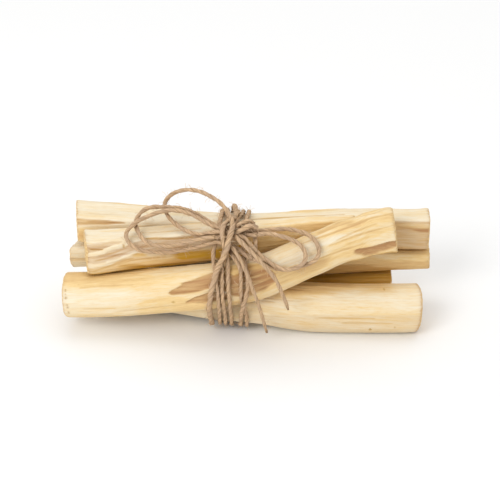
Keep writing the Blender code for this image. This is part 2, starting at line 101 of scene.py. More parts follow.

# Marks on the sticks' fronts. Each is a kind and stations along it, as (across, upper edge, lower edge).
# Some marks are painted light or shade, as noted above them.
MARKS = {
    "stick_front_lower": [
        # Painted shadow of stick_front_crossing along this stick's top, a painted highlight band below it,
        # and painted shade over its lower face.
        ("painted_cast_shadow", [(3, 13.6, 7.6), (10, 13.6, 8.6), (20, 13.6, 9.6), (30, 13.6, 11.2), (38, 13.4, 12.6)]),
        ("painted_cast_shadow", [(30, 13.4, 11.0), (38, 13.4, 10.4), (44, 13.2, 11.2)]),
        ("paler_and_highlight", [(6, 7.4, 4.6), (20, 8.2, 4.4), (34, 9.4, 4.4), (48, 9.6, 4.2)]),
        ("painted_lower_shade", [(0, 3.9, -1.4), (12, 3.9, -1.4), (50, 3.7, -1.4)]),
        ("grain_line", [(18, 3.0, 2.8), (24, 3.1, 2.6), (36, 2.9, 2.7)]),
        ("grain_line", [(26, 1.6, 1.4), (31, 1.6, 1.2), (41, 1.4, 1.3)]),
        ("speck", [(37.9, 11.05, 10.75), (38.3, 11.2, 10.65), (38.7, 11.0, 10.8)]),
        ("speck", [(33.9, -0.3, -0.5), (34.4, -0.05, -0.7), (35.0, -0.3, -0.5)]),
        ("speck", [(41.0, 0.35, 0.15), (41.3, 0.5, 0.0), (41.7, 0.35, 0.15)]),
    ],
    "stick_front_crossing": [
        ("tear", [
            (-21.8, 10.05, 10.0), (-20.7, 10.7, 9.7), (-19.5, 11.3, 9.6), (-17.6, 12.7, 9.7),
            (-14.3, 14.0, 10.4), (-11.6, 15.1, 11.0), (-9.6, 15.8, 11.4), (-6.9, 16.1, 11.2),
            (-3.3, 15.0, 9.0), (0.8, 17.8, 9.0), (3.0, 17.9, 9.8), (5.0, 17.2, 11.0), (6.8, 16.2, 12.3),
            (8.2, 15.0, 13.6),
        ]),
        ("lip", [(-2.6, 13.5, 13.1), (1.0, 14.6, 14.1), (4.0, 15.5, 15.0), (7.5, 16.1, 15.7)]),
        ("lip", [(-1.0, 11.5, 11.2), (2.5, 12.8, 12.4), (5.0, 13.6, 13.3), (7.0, 14.3, 14.1)]),
        ("tan", [
            (3.0, 16.4, 9.6), (7.0, 17.0, 11.2), (11.0, 17.4, 13.0), (16.0, 18.0, 15.0),
            (24.0, 20.4, 18.4),
        ]),
        ("tear", [
            (-17.1, 7.2, 7.1), (-15.7, 8.1, 7.1), (-13.8, 9.1, 7.2), (-9.6, 10.3, 7.6),
            (-4.7, 10.0, 8.4),
        ]),
        ("swoosh", [
            (-32.2, 6.2, 3.4), (-28.1, 7.9, 3.4), (-24, 9.0, 3.6), (-18.4, 9.2, 3.8), (-10, 7.2, 2.6),
            (0, 8, 3), (8, 9, 4),
        ]),
        ("swoosh", [(-54, 15.9, 12.2), (-44, 15.9, 12.9), (-36, 15.9, 14.2), (-28, 15.9, 15.4)]),
        ("grain_line", [(-47, 11.4, 11.2), (-40, 12.1, 11.8), (-31, 12.4, 12.3)]),
        ("grain_line", [(-46, 5.4, 5.2), (-41, 5.6, 5.3), (-36, 5.8, 5.6)]),
        ("speck", [(-20.9, 7.65, 7.4), (-20.3, 7.8, 7.25), (-19.7, 7.65, 7.45)]),
        *(
            ("saw_mark", [(x - wide, up, up - 0.2), (x, up + half, up - half), (x + wide, up + 0.3, up)])
            for x, up, wide, half in (
                (-50.5, 10.6, 0.5, 0.35), (-50.5, 9.6, 0.4, 0.25), (-50.4, 8.5, 0.6, 0.4),
                (-50.1, 6.6, 0.5, 0.3), (-50.0, 5.8, 0.6, 0.35), (-49.8, 4.4, 0.5, 0.3),
            )
        ),
        ("paler_and_highlight", [(-44, 11.0, 6.4), (-36, 11.4, 7.2), (-28, 11.8, 9.2), (-22, 12.2, 11.6)]),
        # Painted light: this makes the wood paler where the right loops shade it.
        ("pale", [
            (-1, 20.2, 16.6), (3.0, 21.4, 16.8), (9, 23.8, 17.0), (15, 26.0, 18.0), (20, 27, 20.6),
            (27, 28, 25.4),
        ]),
        ("paler_and_highlight", [(16.6, 27.2, 26.6), (20, 28.6, 26.8), (24, 29.4, 28.6)]),
        ("orange", [(18, 26.2, 25.6), (21, 27.6, 26.6), (25, 29.6, 28.6), (30, 30.6, 29.8)]),
        ("shaded", [(-9, 17.0, 15.4), (-3.3, 17.8, 14.4), (1.5, 18.4, 16.8), (6, 18.4, 17.2)]),
        ("paler_and_highlight", [
            (2.6, 9.2, 8.4), (10, 11.2, 10.2), (16, 13.8, 12.6), (24, 17.6, 16.4), (29, 18.8, 17.8),
        ]),
        ("swoosh", [(18, 24.4, 23.6), (24, 27.2, 26.2), (32, 30.2, 29.2), (42, 32.2, 31.2)]),
        ("swoosh", [(16, 21.0, 20.4), (24, 24.0, 23.0), (32, 26.8, 25.8), (44, 29.2, 28.0)]),
        ("swoosh", [(12, 15.6, 14.8), (20, 19.4, 17.9), (28, 21.6, 20.4), (34, 23.6, 22.8)]),
        ("tan", [(26, 23.2, 22.9), (32, 25.4, 24.8), (38, 26.8, 26.2)]),
        ("grain_line", [(14, 23.4, 23.2), (22, 26.4, 25.8), (33, 30.2, 30.0)]),
        ("grain_line", [(22, 22.9, 22.7), (30, 26.2, 25.6), (41, 29.0, 28.8)]),
        ("grain_line", [(27, 28.6, 28.4), (34, 31.0, 30.4), (41, 32.4, 32.2)]),
        ("grain_line", [(18, 19.0, 18.8), (26, 22.0, 21.5), (33, 24.0, 23.8)]),
        ("grain_line", [(24, 24.4, 24.2), (29, 27.0, 26.4), (36, 29.4, 29.2)]),
        ("ridge", [
            (29.0, 21.7, 21.5), (32.5, 23.4, 22.6), (36.7, 24.4, 23.4), (39.4, 25.2, 24.1),
            (44, 26.0, 24.7),
        ]),
        ("notch", [
            (29.2, 21.4, 21.1), (30.6, 22.3, 20.7), (32.5, 22.6, 20.3), (34.5, 22.9, 20.6),
            (36.7, 23.5, 21.4), (39.4, 24.2, 22.2), (44, 24.8, 23.0),
        ]),
    ],
    "stick_front_upper": [
        # Partly painted shade: the facet between the pale top face and the golden lower face lies in shade,
        # and this makes it pinkish brown.
        ("stained_and_shade", [
            (-46.5, 19.3, 17.9), (-44.4, 19.7, 18.0), (-43.3, 20.0, 17.9), (-41.9, 20.2, 17.9),
            (-40.5, 20.6, 18.2), (-39.3, 20.8, 18.5), (-38.6, 21.5, 18.9), (-36.4, 22.1, 19.4),
            (-33.6, 22.9, 20.4), (-31.4, 24.0, 21.1), (-28.6, 24.9, 21.8), (-25.3, 25.2, 21.4),
            (-19.8, 25.2, 21.3), (-15.1, 25.8, 21.7), (-9.6, 26.6, 22.6), (0, 27.4, 24.0),
        ]),
        ("stained_and_shade", [
            (-48, 23.5, 21.2), (-44.6, 23.3, 21.2), (-42.7, 23.5, 21.3), (-41.2, 23.8, 21.7),
            (-39.9, 24.0, 22.1), (-39.1, 24.1, 22.6), (-37.2, 24.4, 23.3), (-35.0, 24.4, 23.9),
            (-34.0, 24.3, 24.1),
        ]),
        ("ridge", [
            (-40.4, 21.8, 21.4), (-39.1, 22.4, 21.6), (-37.7, 22.9, 22.0), (-36.4, 23.2, 22.4),
            (-35.0, 23.6, 23.0), (-33.6, 24.2, 23.6), (-32.8, 24.5, 24.2),
        ]),
        ("orange", [
            (-48, 16.8, 15.6), (-42.7, 16.8, 15.7), (-39.0, 17.6, 16.0), (-37.2, 18.1, 16.2),
            (-35, 19.1, 16.4), (-32.2, 20.0, 16.5), (-30.3, 21.0, 16.6), (-28.8, 21.2, 16.7),
            (-26, 20.6, 17.0), (-22.5, 20.9, 17.4), (-17, 21.6, 18.0), (-9.6, 22.2, 19.2), (4, 24, 20),
        ]),
        ("lip", [
            (-48, 18.0, 17.1), (-44.4, 18.0, 17.1), (-43.0, 17.8, 16.9), (-41.9, 17.8, 17.0),
            (-40.5, 18.1, 17.3), (-39.1, 18.5, 17.7), (-37.7, 19.0, 18.2), (-36.4, 19.4, 18.7),
            (-35, 19.9, 19.2), (-33.6, 20.4, 19.7), (-32.2, 20.8, 20.1), (-31.1, 21.3, 20.6),
            (-30.0, 21.8, 21.2), (-29.0, 22.1, 21.9),
        ]),
        ("shaded", [(-36.4, 17.3, 17.0), (-33.0, 17.9, 16.8), (-31.5, 17.9, 16.8), (-27.6, 17.4, 17.0)]),
        ("shaded", [(-32.6, 20.5, 20.1), (-30.2, 21.0, 20.0), (-28.9, 20.8, 20.1), (-27.0, 20.3, 20.1)]),
        ("golden", [
            (-21.4, 20.6, 20.2), (-18.0, 21.0, 19.2), (-15.4, 21.4, 19.3), (-11, 21.5, 19.4),
            (4, 24.2, 20.6),
        ]),
        # Partly painted shade: golden brown along the lower edge, where the stick curves under towards
        # stick_front_crossing.
        ("resin_and_shade", [
            (-50, 15.0, 13), (-44.3, 15.2, 13), (-40.5, 15.6, 14), (-37.7, 16.0, 14),
            (-35.5, 16.3, 14.5), (-32.2, 16.6, 15), (-28.1, 17.3, 15.5), (-25.3, 17.8, 16),
            (-22.6, 18.4, 16.3), (-19.8, 18.8, 16.5), (-17.1, 19.0, 17), (-14.3, 19.2, 17.3),
            (-11.6, 19.4, 17.5), (-6, 19.8, 17.8), (4, 21, 18),
        ]),
        ("grain_line", [
            (-46, 15.8, 15.5), (-42.7, 15.9, 15.5), (-38.3, 17.4, 16.9), (-34.4, 18.8, 18.3),
            (-31, 19.8, 19.6),
        ]),
        ("grain_line", [
            (-41.5, 20.2, 20.0), (-39.6, 20.6, 20.1), (-36.4, 21.5, 21.0), (-32.8, 22.8, 22.6),
        ]),
        ("grain_line", [
            (-42.9, 18.6, 18.5), (-41.0, 19.1, 18.7), (-37.7, 20.0, 19.5), (-33.9, 21.3, 20.9),
            (-31, 22.2, 22.0),
        ]),
        ("grain_line", [(-36, 17.6, 17.5), (-32, 19.0, 18.6), (-27, 19.6, 19.2), (-22, 19.9, 19.7)]),
        ("grain_line", [(-30, 22.7, 22.5), (-26, 23.8, 23.4), (-20, 23.6, 23.2), (-13, 24.4, 24.2)]),
        ("rim", [(-44.0, 22.35, 22.05), (-42.5, 22.4, 22.0), (-40.6, 22.3, 22.0), (-39.4, 22.2, 22.0)]),
        ("rim", [
            (-28.9, 25.1, 24.8), (-27.5, 25.35, 24.9), (-25.3, 25.4, 24.95), (-22.6, 25.35, 24.95),
            (-19.8, 25.4, 24.95), (-17.9, 25.5, 25.1), (-16.5, 25.7, 25.3), (-14.4, 26.0, 25.7),
        ]),
        ("rim", [
            (-13.8, 26.3, 26.1), (-12.1, 26.55, 26.2), (-11.0, 26.9, 26.5), (-9.6, 27.2, 26.8),
            (-7.6, 27.5, 27.3),
        ]),
        ("speck", [(-34.5, 23.3, 22.6), (-34.1, 23.5, 22.5), (-33.6, 23.2, 22.8)]),
        ("tan", [(-3, 27.2, 19.8), (6.3, 27.0, 21.0), (11.8, 26.4, 22.6), (17.6, 25.6, 24.4)]),
        ("tan", [
            (5, 27.8, 26.6), (10.4, 28.6, 26.6), (14.6, 29.2, 26.4), (17.9, 29.6, 27.0),
            (29, 30.4, 28.6),
        ]),
        ("grain_line", [(-30, 26.8, 26.6), (-22, 27.2, 26.9), (-12, 28.0, 27.8)]),
    ],
    "stick_rear_upper": [
        ("swoosh", [(-56, 28.1, 22), (-46, 28.0, 22), (-40, 27.8, 22), (-34, 27.4, 22)]),
        ("tan", [(-56, 26.9, 24.9), (-46, 26.8, 25.0), (-41, 26.4, 25.2)]),
        # Painted shadow: the sunken left front of this stick, where stick_front_upper shades it, is made
        # brown by this mark and the next.
        ("splinter_and_shade", [
            (-56, 30.7, 28.7), (-47.9, 30.8, 28.8), (-43.7, 30.5, 28.8), (-40.5, 30.35, 28.9),
            (-38.4, 30.1, 29.1), (-36.6, 29.85, 29.3), (-34.0, 29.6, 29.45),
        ]),
        ("stained_and_shade", [
            (-45.5, 30.3, 29.9), (-42, 30.35, 29.2), (-39.0, 30.15, 29.1), (-36.4, 29.8, 29.3),
            (-34, 29.6, 29.4),
        ]),
        ("rim", [(0, 30.6, 30.3), (8, 31.2, 30.8), (18, 31.6, 31.3), (28, 32.0, 31.8)]),
        # Partly painted shade: this makes the front face at the right, which lies in shade, pinkish brown.
        ("brown_and_shade", [(32, 28.2, 21.8), (40, 28.2, 21.8), (58, 27.4, 21.8)]),
        ("brown", [(32, 30.1, 29.4), (41.5, 30.1, 29.3), (47, 29.9, 29.4), (56, 29.8, 29.2)]),
        ("orange", [(32, 29.4, 27.8), (46, 29.5, 27.8), (56, 29.4, 27.0)]),
        ("brown", [(41, 28.7, 28.3), (45, 28.5, 27.9), (49, 27.8, 27.0), (56, 27.4, 26.7)]),
    ],
    "stick_rear_middle": [
        ("orange", [(-54, 19.6, 18.8), (-40, 19.6, 18.8)]),
        ("shaded", [(6, 17.8, 13), (32, 17.6, 14), (44, 16.4, 14.6), (50, 15.8, 15.2)]),
        ("swoosh", [(20, 19.6, 16), (36, 19.2, 15.6), (56, 18.6, 15.4)]),
    ],
    "stick_rear_lower": [
        # Painted shade over the whole front of this stick, which lies deep in the bundle.
        ("painted_deep_shade", [(0, 18, 9), (14, 18, 9), (48, 18, 9)]),
    ],
}

# What a mark of each kind does: its depth, the softness of its edge, how much brown, golden and dark it adds
# (as stain, and for the kinds noted as painted shade), how much paler it is, how ribbed it is, and how much
# of the relief and stains under it it takes away.
MARK_KINDS = {
    "tan": (0.08, 0.9, (0.0, 0.0, 0.0), -0.75, 0.15, 0.0),
    "orange": (0.10, 0.7, (0.20, 0.04, 0.01), -0.50, 0.5, 0.2),
    "swoosh": (0.04, 1.0, (0.0, 0.0, 0.0), -0.45, 0.0, 0.0),
    # Painted shadow: tan and a little brown.
    "painted_cast_shadow": (0.0, 3.0, (0.20, 0.02, 0.0), -0.90, 0.0, 0.0),
    # Paler wood; on stick_front_lower it is a painted highlight band.
    "paler_and_highlight": (-0.05, 1.2, (0.0, 0.0, 0.0), 0.12, 0.0, 0.8),
    # Paler wood, used as painted light where the twine's loops shade a stick.
    "pale": (-0.05, 1.2, (0.0, 0.0, 0.0), 0.36, 0.0, 0.8),
    # Painted shade: greyer, over a face turned down from the light.
    "painted_lower_shade": (0.0, 0.8, (0.11, 0.0, 0.05), 0.10, 0.0, 0.0),
    "brown": (0.12, 0.7, (0.50, 0.0, 0.02), -0.6, 0.4, 0.0),
    "golden": (0.06, 0.9, (0.0, 0.90, 0.0), -0.8, 0.2, 0.5),
    "shaded": (0.12, 0.7, (0.10, 0.24, 0.0), -0.7, 0.4, 0.1),
    # Painted shade: golden and dark.
    "painted_deep_shade": (0.0, 0.7, (0.12, 0.75, 0.50), -0.9, 0.4, 0.0),
    # Golden brown, also used as painted shade along a lower edge.
    "resin_and_shade": (0.10, 0.8, (0.16, 0.22, 0.0), -0.7, 0.2, 0.0),
    # Pinkish brown stain, also used as painted shade on faces that lie in shade.
    "stained_and_shade": (0.28, 0.35, (0.48, 0.0, 0.02), -0.12, 0.6, 0.5),
    # A sunken step made brown, also used as painted shadow.
    "splinter_and_shade": (0.35, 0.4, (0.42, 0.04, 0.02), -0.60, 0.6, 0.4),
    "tear": (0.60, 0.3, (0.82, 0.02, 0.03), -0.7, 0.6, 0.6),
    "notch": (0.60, 0.3, (0.86, 0.02, 0.03), -1.0, 0.5, 0.6),
    "ridge": (-0.30, 0.7, (0.0, 0.0, 0.0), 0.0, 0.1, 0.6),
    "rim": (0.30, 0.3, (0.45, 0.30, 0.16), -0.6, 0.0, 0.0),
    "grain_line": (0.14, 0.4, (0.20, 0.0, 0.05), -0.5, 0.0, 0.0),
    "speck": (0.10, 0.15, (0.20, 0.50, 0.25), 0.0, 0.0, 0.0),
    "saw_mark": (0.03, 0.22, (0.10, 0.50, 0.34), 0.0, 0.0, 0.0),
    # Pinkish brown that wipes the relief, also used as painted shade.
    "brown_and_shade": (0.12, 0.5, (0.42, 0.0, 0.04), -0.30, 0.1, 0.85),
    "lip": (-0.25, 0.6, (0.06, 0.0, 0.0), -0.15, 0.3, 0.5),
}
POINTED = 0.32  # how fast a mark widens from an end of its own, in mm for each mm
RAGGED, RAGGED_GRAIN = 0.45, (4.0, 0.6)  # how far a mark's edge strays, and how long and wide a fray is
RIBS = (14.0, 0.62)  # length and width of the ribs in torn wood
RIB_DEPTH = 0.4
RIB_STAIN, RIB_TONE = 1.2, 0.4  # how much more a rib is stained, and made paler, than the wood beside it
RIB_SEED, MARK_SEED = 40, 60

# Places all over a stick where splinters came off, and the fine splits in it. A pair is the least and the
# most. The front shows only part of a splinter's depth and paleness, since its own marks are there.
SPLINTERS = 34
SPLINTER_LENGTH, SPLINTER_HALF_WIDTH = (9, 60), (0.7, 2.8)
SPLINTER_DEPTH = (-0.35, 1.0)  # as a share of the setting
SPLINTER_TONE = (-0.9, 0.35)
SPLINTER_DRIFT = 0.05  # round the stick over its own length, in turns
SPLINTER_EDGE = 0.32
ON_FRONT_DEPTH, ON_FRONT_TONE = 0.3, 0.12
SPLITS = 12
SPLIT_LENGTH, SPLIT_DEPTH = (8, 26), (0.1, 0.28)
SPLIT_DRIFT = 0.0008  # round the stick for each millimetre along it, in turns
SPLIT_HALF_WIDTH, SPLIT_TAPER = 0.3, 4

# Layers of noise along the grain, as their length and width, and a weight for those that make streaks.
BROAD, RIDGED, STEPPED, FIBROUS = (42.0, 4.2), (28.0, 1.8), (12.0, 0.8), (5.0, 0.42)
STREAKS = ((15.0, 3.0, 1.1), (9.0, 1.3, 0.55), (4.0, 0.55, 0.35))

# Painted shade where sticks come close, golden and dark, as its strength and how far it reaches.
CLOSE_SHADE_GOLDEN, CLOSE_SHADE_DARK = (0.85, 0.8), (0.62, 0.5)
TIED_MIDDLE, TIED_REACH = -5.5, 7  # the x where the twine presses the relief flat, and how far to each side

# The sawn ends: how deep saw cuts and pores are, how far the edge is worn down and over what length, and
# how far along the stick its chips run.
SAW_DEPTH, PORE_DEPTH = 0.12, 0.10
EDGE_WEAR, EDGE_LENGTH, CHIP_LENGTH = 0.24, 0.25, 1.1
END_TONE = 0.4

# The twine's free runs, as points on the bundle's front: the loops, which start and end at the knot, the
# tails, and the first turn, which comes up from under the bundle.
BOW = {
    "bow_loop_left_tall": [
        (-4.3, 30.4, 17.4), (-5.3, 32.5, 16.0), (-7.3, 34.8, 14.6), (-9.9, 36.6, 13.2),
        (-12.8, 38.0, 11.8), (-15.8, 38.6, 10.4), (-18.9, 38.3, 9.2), (-21.4, 37.1, 8.2),
        (-22.9, 35.2, 7.3), (-22.9, 33.3, 7.2), (-22.0, 31.4, 8.6), (-20.5, 29.8, 10.6),
        (-18.6, 28.3, 12.2), (-16.0, 26.9, 14.0), (-13.2, 26.2, 15.4), (-10.3, 26.5, 17.2),
        (-7.8, 26.9, 19.0),
    ],
    "bow_loop_left_wide": [
        (-6.9, 27.4, 17.6), (-9.8, 28.7, 15.8), (-12.6, 30.3, 14.0), (-15.5, 31.8, 12.6),
        (-18.5, 32.7, 11.8), (-21.4, 32.9, 11.4), (-24.2, 32.4, 11.4), (-27.2, 31.3, 11.6),
        (-29.9, 30.0, 12.2), (-31.9, 28.4, 12.8), (-33.2, 26.6, 13.6), (-32.8, 24.6, 14.6),
        (-31.3, 22.9, 14.6), (-29.0, 21.8, 14.2), (-26.2, 21.4, 13.8), (-23.2, 21.2, 13.4),
        (-20.0, 21.4, 13.2), (-17.0, 22.0, 13.4), (-14.0, 22.7, 14.2), (-11.2, 23.5, 16.0),
        (-8.6, 24.1, 17.7),
    ],
    "bow_loop_left_inner": [
        (-6.9, 27.6, 15.6), (-9.8, 29.3, 14.2), (-12.6, 31.1, 12.6), (-15.5, 32.6, 11.2),
        (-18.5, 33.5, 10.2), (-21.4, 33.8, 9.6), (-24.0, 33.9, 9.3), (-26.6, 33.8, 9.0),
        (-28.7, 33.0, 9.0), (-30.2, 31.4, 9.4), (-30.9, 29.4, 10.4), (-30.3, 27.4, 12.0),
        (-29.2, 25.7, 13.8), (-27.8, 24.2, 15.0), (-25.4, 23.2, 15.4), (-22.4, 22.9, 15.3),
        (-19.4, 23.3, 15.1), (-16.6, 23.9, 15.3), (-13.8, 24.6, 16.3), (-11.2, 25.2, 17.5),
        (-8.6, 25.5, 18.4),
    ],
    "bow_loop_right_outer": [
        (2.2, 27.0, 17.6), (5.0, 27.3, 16.6), (8.0, 27.6, 16.0), (11.2, 27.6, 15.9), (14.0, 27.1, 16.6),
        (16.4, 26.2, 17.6), (18.2, 24.8, 18.3), (19.3, 23.1, 18.7), (19.6, 21.2, 18.9),
        (18.9, 19.5, 18.9), (17.3, 18.4, 18.8), (15.3, 17.7, 18.7), (13.2, 17.0, 18.6),
        (11.0, 16.6, 18.6), (8.8, 16.7, 18.8), (7.0, 17.2, 18.9), (5.2, 18.0, 18.8), (3.2, 18.8, 18.6),
        (1.4, 19.5, 18.5),
    ],
    "bow_loop_right_inner": [
        (2.7, 26.0, 19.0), (5.2, 26.4, 18.6), (7.6, 26.1, 18.4), (9.9, 25.5, 18.5), (12.0, 24.8, 18.7),
        (13.8, 23.8, 19.1), (15.2, 22.4, 19.6), (15.9, 20.6, 20.0), (15.6, 18.8, 20.3),
        (14.2, 17.4, 20.4), (12.0, 16.6, 20.2), (9.7, 16.8, 20.0), (7.5, 17.7, 19.9), (5.6, 19.0, 19.7),
        (4.0, 20.2, 19.6), (2.6, 21.4, 19.6),
    ],
    "twine_tail_long": [
        (-6.6, 23.8, 18.6), (-4.9, 23.2, 19.2), (-3.8, 22.4, 19.9), (-3.0, 21.2, 20.4),
        (-2.1, 19.9, 20.7), (-1.3, 18.4, 20.9), (-0.5, 16.6, 20.9), (0.4, 14.4, 20.6), (1.3, 12.0, 20.1),
        (2.1, 9.8, 19.4), (3.0, 7.4, 18.0), (4.0, 4.2, 15.4), (4.8, 1.4, 12.4), (5.5, -1.0, 9.6),
    ],
    "twine_tail_short": [
        (-6.2, 26.6, 19.5), (-4.5, 26.2, 19.5), (-3.1, 25.5, 20.2), (-2.0, 24.5, 20.9),
        (-0.7, 23.2, 21.4), (0.9, 21.6, 21.8), (2.6, 19.9, 22.0), (4.4, 18.0, 22.2), (6.2, 15.9, 21.6),
        (7.8, 13.8, 20.8), (8.9, 11.6, 19.8), (9.8, 9.4, 18.4), (10.7, 7.4, 16.8), (11.3, 5.6, 15.2),
    ],
    "first_turn": [
        (-9.9, 1.3, 3.0), (-10.0, 2.2, 5.6), (-10.3, 3.8, 8.6), (-10.4, 6.0, 13.0), (-10.1, 8.3, 15.7),
        (-9.8, 10.2, 17.0), (-9.3, 12.4, 18.3), (-8.7, 14.6, 19.2), (-8.1, 16.5, 19.4),
        (-7.2, 18.4, 19.3), (-6.2, 20.3, 19.8), (-5.5, 21.9, 20.6), (-5.1, 23.8, 21.5),
        (-4.6, 25.7, 21.8), (-4.0, 27.3, 21.0), (-3.8, 28.9, 19.4),
    ],
}
TAILS = ("twine_tail_long", "twine_tail_short")
TAPER = ((0, 0.5, 0.9, 1), (1, 0.85, 0.8, 0.5))  # a tail's thickness at shares of its length

# Where the twine is thicker than its usual diameter, as a share of it.
THICKER = {"first_turn": 1.3, "twine_tail_short": 1.15, "twine_tail_long": 1.05, "knot": 1.12}

# Each free run of twine, as its piece's name and the runs that it is made of.
CORDS = {
    "twine_first_turn_tall_loop_and_short_tail": ("first_turn", "bow_loop_left_tall", "twine_tail_short"),
    "twine_wide_loop_and_long_tail": ("bow_loop_left_wide", "twine_tail_long"),
    "twine_left_inner_loop": ("bow_loop_left_inner",),
    "twine_right_outer_loop": ("bow_loop_right_outer",),
    "twine_right_inner_loop": ("bow_loop_right_inner",),
}

# The knot's strands: they join the bow's runs, and one has its cut end showing.
KNOT_STRANDS = [
    [
        (-6.9, 27.4, 17.6), (-5.5, 27.8, 17.9), (-3.8, 28.2, 18.0), (-2.0, 28.0, 18.2),
        (0.0, 27.2, 18.2), (2.2, 27.0, 17.6),
    ],
    [
        (-6.9, 27.6, 15.6), (-5.2, 27.9, 15.9), (-3.6, 27.4, 16.6), (-1.8, 26.4, 17.8),
        (0.4, 26.0, 18.8), (2.7, 26.0, 19.0),
    ],
    [
        (-8.6, 25.5, 18.4), (-7.2, 25.4, 18.4), (-5.6, 24.6, 18.1), (-3.6, 22.9, 17.9),
        (-0.8, 20.9, 18.2), (1.4, 19.5, 18.5),
    ],
    [
        (2.6, 21.4, 19.6), (1.6, 22.5, 19.8), (0.5, 23.8, 20.0), (-0.5, 24.9, 20.1), (-1.9, 25.8, 19.8),
        (-3.2, 26.8, 18.8),
    ],
    [
        (-3.8, 27.0, 18.6), (-2.9, 27.9, 19.4), (-1.9, 28.9, 19.6), (-0.2, 29.6, 19.0),
        (1.1, 29.6, 18.2), (1.8, 29.0, 17.2),
    ],
    [
        (-3.8, 25.9, 18.8), (-2.4, 26.8, 20.2), (-1.0, 27.6, 20.8), (0.6, 28.3, 20.6), (1.7, 28.4, 20.0),
        (2.7, 27.9, 19.0),
    ],
    [(1.2, 28.4, 16.6), (1.9, 26.6, 17.2), (2.3, 24.2, 17.6), (2.2, 22.2, 17.6), (1.2, 20.2, 17.2)],
]

# Each turn's run down the bundle's front, as (across, up, layer), and the last one's up over its top.
TURNS = [
    [
        (-6.9, 32.9, 1), (-7.2, 31.4, 1), (-7.4, 30.2, 1.2), (-7.8, 27.9, 1.5), (-8.4, 24.6, 1.3),
        (-9.1, 21.9, 1), (-9.3, 19.7, 1), (-9.0, 17.5, 1), (-8.7, 15.4, 1), (-8.4, 12.9, 1),
        (-8.0, 10.7, 1), (-7.7, 7, 1), (-7.6, 3, 1),
    ],
    [
        (-3.4, 34.4, 2.5), (-3.1, 32.9, 2.5), (-2.9, 30.2, 2.3), (-4.0, 27.4, 2.4), (-5.2, 24.6, 2.0),
        (-6.2, 21.9, 1.6), (-6.7, 19.2, 1.2), (-6.8, 16.5, 1), (-6.7, 13.7, 1), (-6.8, 11, 1),
        (-6.6, 8, 1), (-6.2, 5, 1), (-6.05, 3, 1),
    ],
    [
        (-2.5, 33.0, 1), (-2.4, 32.2, 1.4), (-3.2, 31.0, 3.0), (-4.7, 30.0, 4.6), (-5.9, 29.3, 5.4),
        (-6.6, 28.1, 5.9), (-6.7, 26.5, 6.2), (-6.4, 24.6, 5.5), (-6.0, 22.7, 4.0), (-5.4, 20.5, 2.2),
        (-5.2, 18.1, 1.3), (-5.1, 15.9, 1), (-5.1, 11, 1), (-4.8, 8.2, 1), (-4.6, 5.5, 1), (-4.4, 3, 1),
    ],
    [
        (-0.9, 33.0, 1), (-1.6, 31.7, 1.2), (-3.0, 29.5, 1.3), (-4.3, 26.8, 1.2), (-5.0, 24.1, 1.3),
        (-4.8, 22.2, 1.7), (-4.0, 20.5, 2.2), (-2.8, 19.0, 2.2), (-1.8, 17.3, 1.6), (-1.6, 15.6, 1),
        (-1.6, 13.2, 1), (-1.6, 10.7, 1), (-1.5, 8.5, 1), (-1.0, 6.6, 1), (-0.4, 4.4, 1), (-0.1, 2.6, 1),
    ],
    [
        (0.6, 32.8, 1), (-0.1, 31.0, 1), (-0.4, 28.4, 1.3), (-0.8, 25.7, 1.5), (-1.0, 23.0, 1.3),
        (-0.8, 20.3, 1.1), (-0.4, 17.5, 1), (0.0, 15.1, 1), (0.3, 12.1, 1), (0.0, 10.2, 1.3),
        (-0.5, 8.0, 2.0), (-1.1, 6.1, 1.8), (-1.6, 3.9, 1.1), (-1.7, 2.6, 1),
    ],
    [
        (-5.9, 33.0, 1), (-5.5, 31.7, 1.1), (-4.7, 30.2, 1.4), (-3.6, 28.4, 1.8), (-2.6, 26.6, 2.4),
        (-2.0, 25.4, 2.6),
    ],
]
BACK_LAYERS = (1, 1, 1, 1, 1, 2)  # the layer in which each turn passes behind the bundle
FIRST_TURN_END = -9.9  # across, where the first turn goes under the bundle
CROWDED = 3.0  # within this of other strands or of the sticks, twine gets painted shade
LAYER = 1.35  # from a layer of turns to the next
TURN_GAP = 0.1  # between a turn of twine and the sticks, which it presses on
LOOSER = 0.055  # how much thicker a less pressed strand is, for each layer that it is further out
PLY_OFFSET = 0.20  # how far each ply's middle is from the twine's, with the twine's radius as 1
CORE = (0.0, 16.0)  # the y and z in the bundle's middle, from which directions round it are taken
BENEATH = 0.75 * FULL_TURN  # the direction from the core to where a turn passes under the bundle
BACK_SHARES = (0.25, 0.5, 0.75)  # of the way round the back, where a turn's layer is set
WOUND = (-14.0, 5.0)  # the x between which the turns lie
WOUND_STEP, OUTLINE_STEP, TURN_STEP = 0.5, 3, 2  # mm between sections, degrees on an outline and a turn
PATH_STEP = 0.3  # between points of a strand's path
CURVE_STEPS = 12  # from one given point of a strand to the next
CORNER_BLUR = 0.9  # how far a wound strand's corners are softened
RAY_START = 0.04  # how far above the twine's skin a ray for its painted shade starts
TIP_DARKNESS, TIP_REACH = 0.75, 1.1  # how dark a tail's tip is, and how far the dark reaches
SKIN_GIRTH = 3.0  # round the twine's skin, in diameters

TARGET = (0.56, -1.43, 21.47)  # what the camera looks at
SENSOR_WIDTH = 36.0
FLOOR_HALF = 4.0  # half the floor's side, in metres
FLOOR_DROP = 0.02  # how far the floor is below what rests on it
LIGHTS = (
    ("key", (-0.38, -0.52, 0.50), 0.35, 1.0),
    ("top", (0.1, 0.3, 0.8), 0.8, 0.75),
)  # each light's name, place and size in metres, and power as a share of the key light's


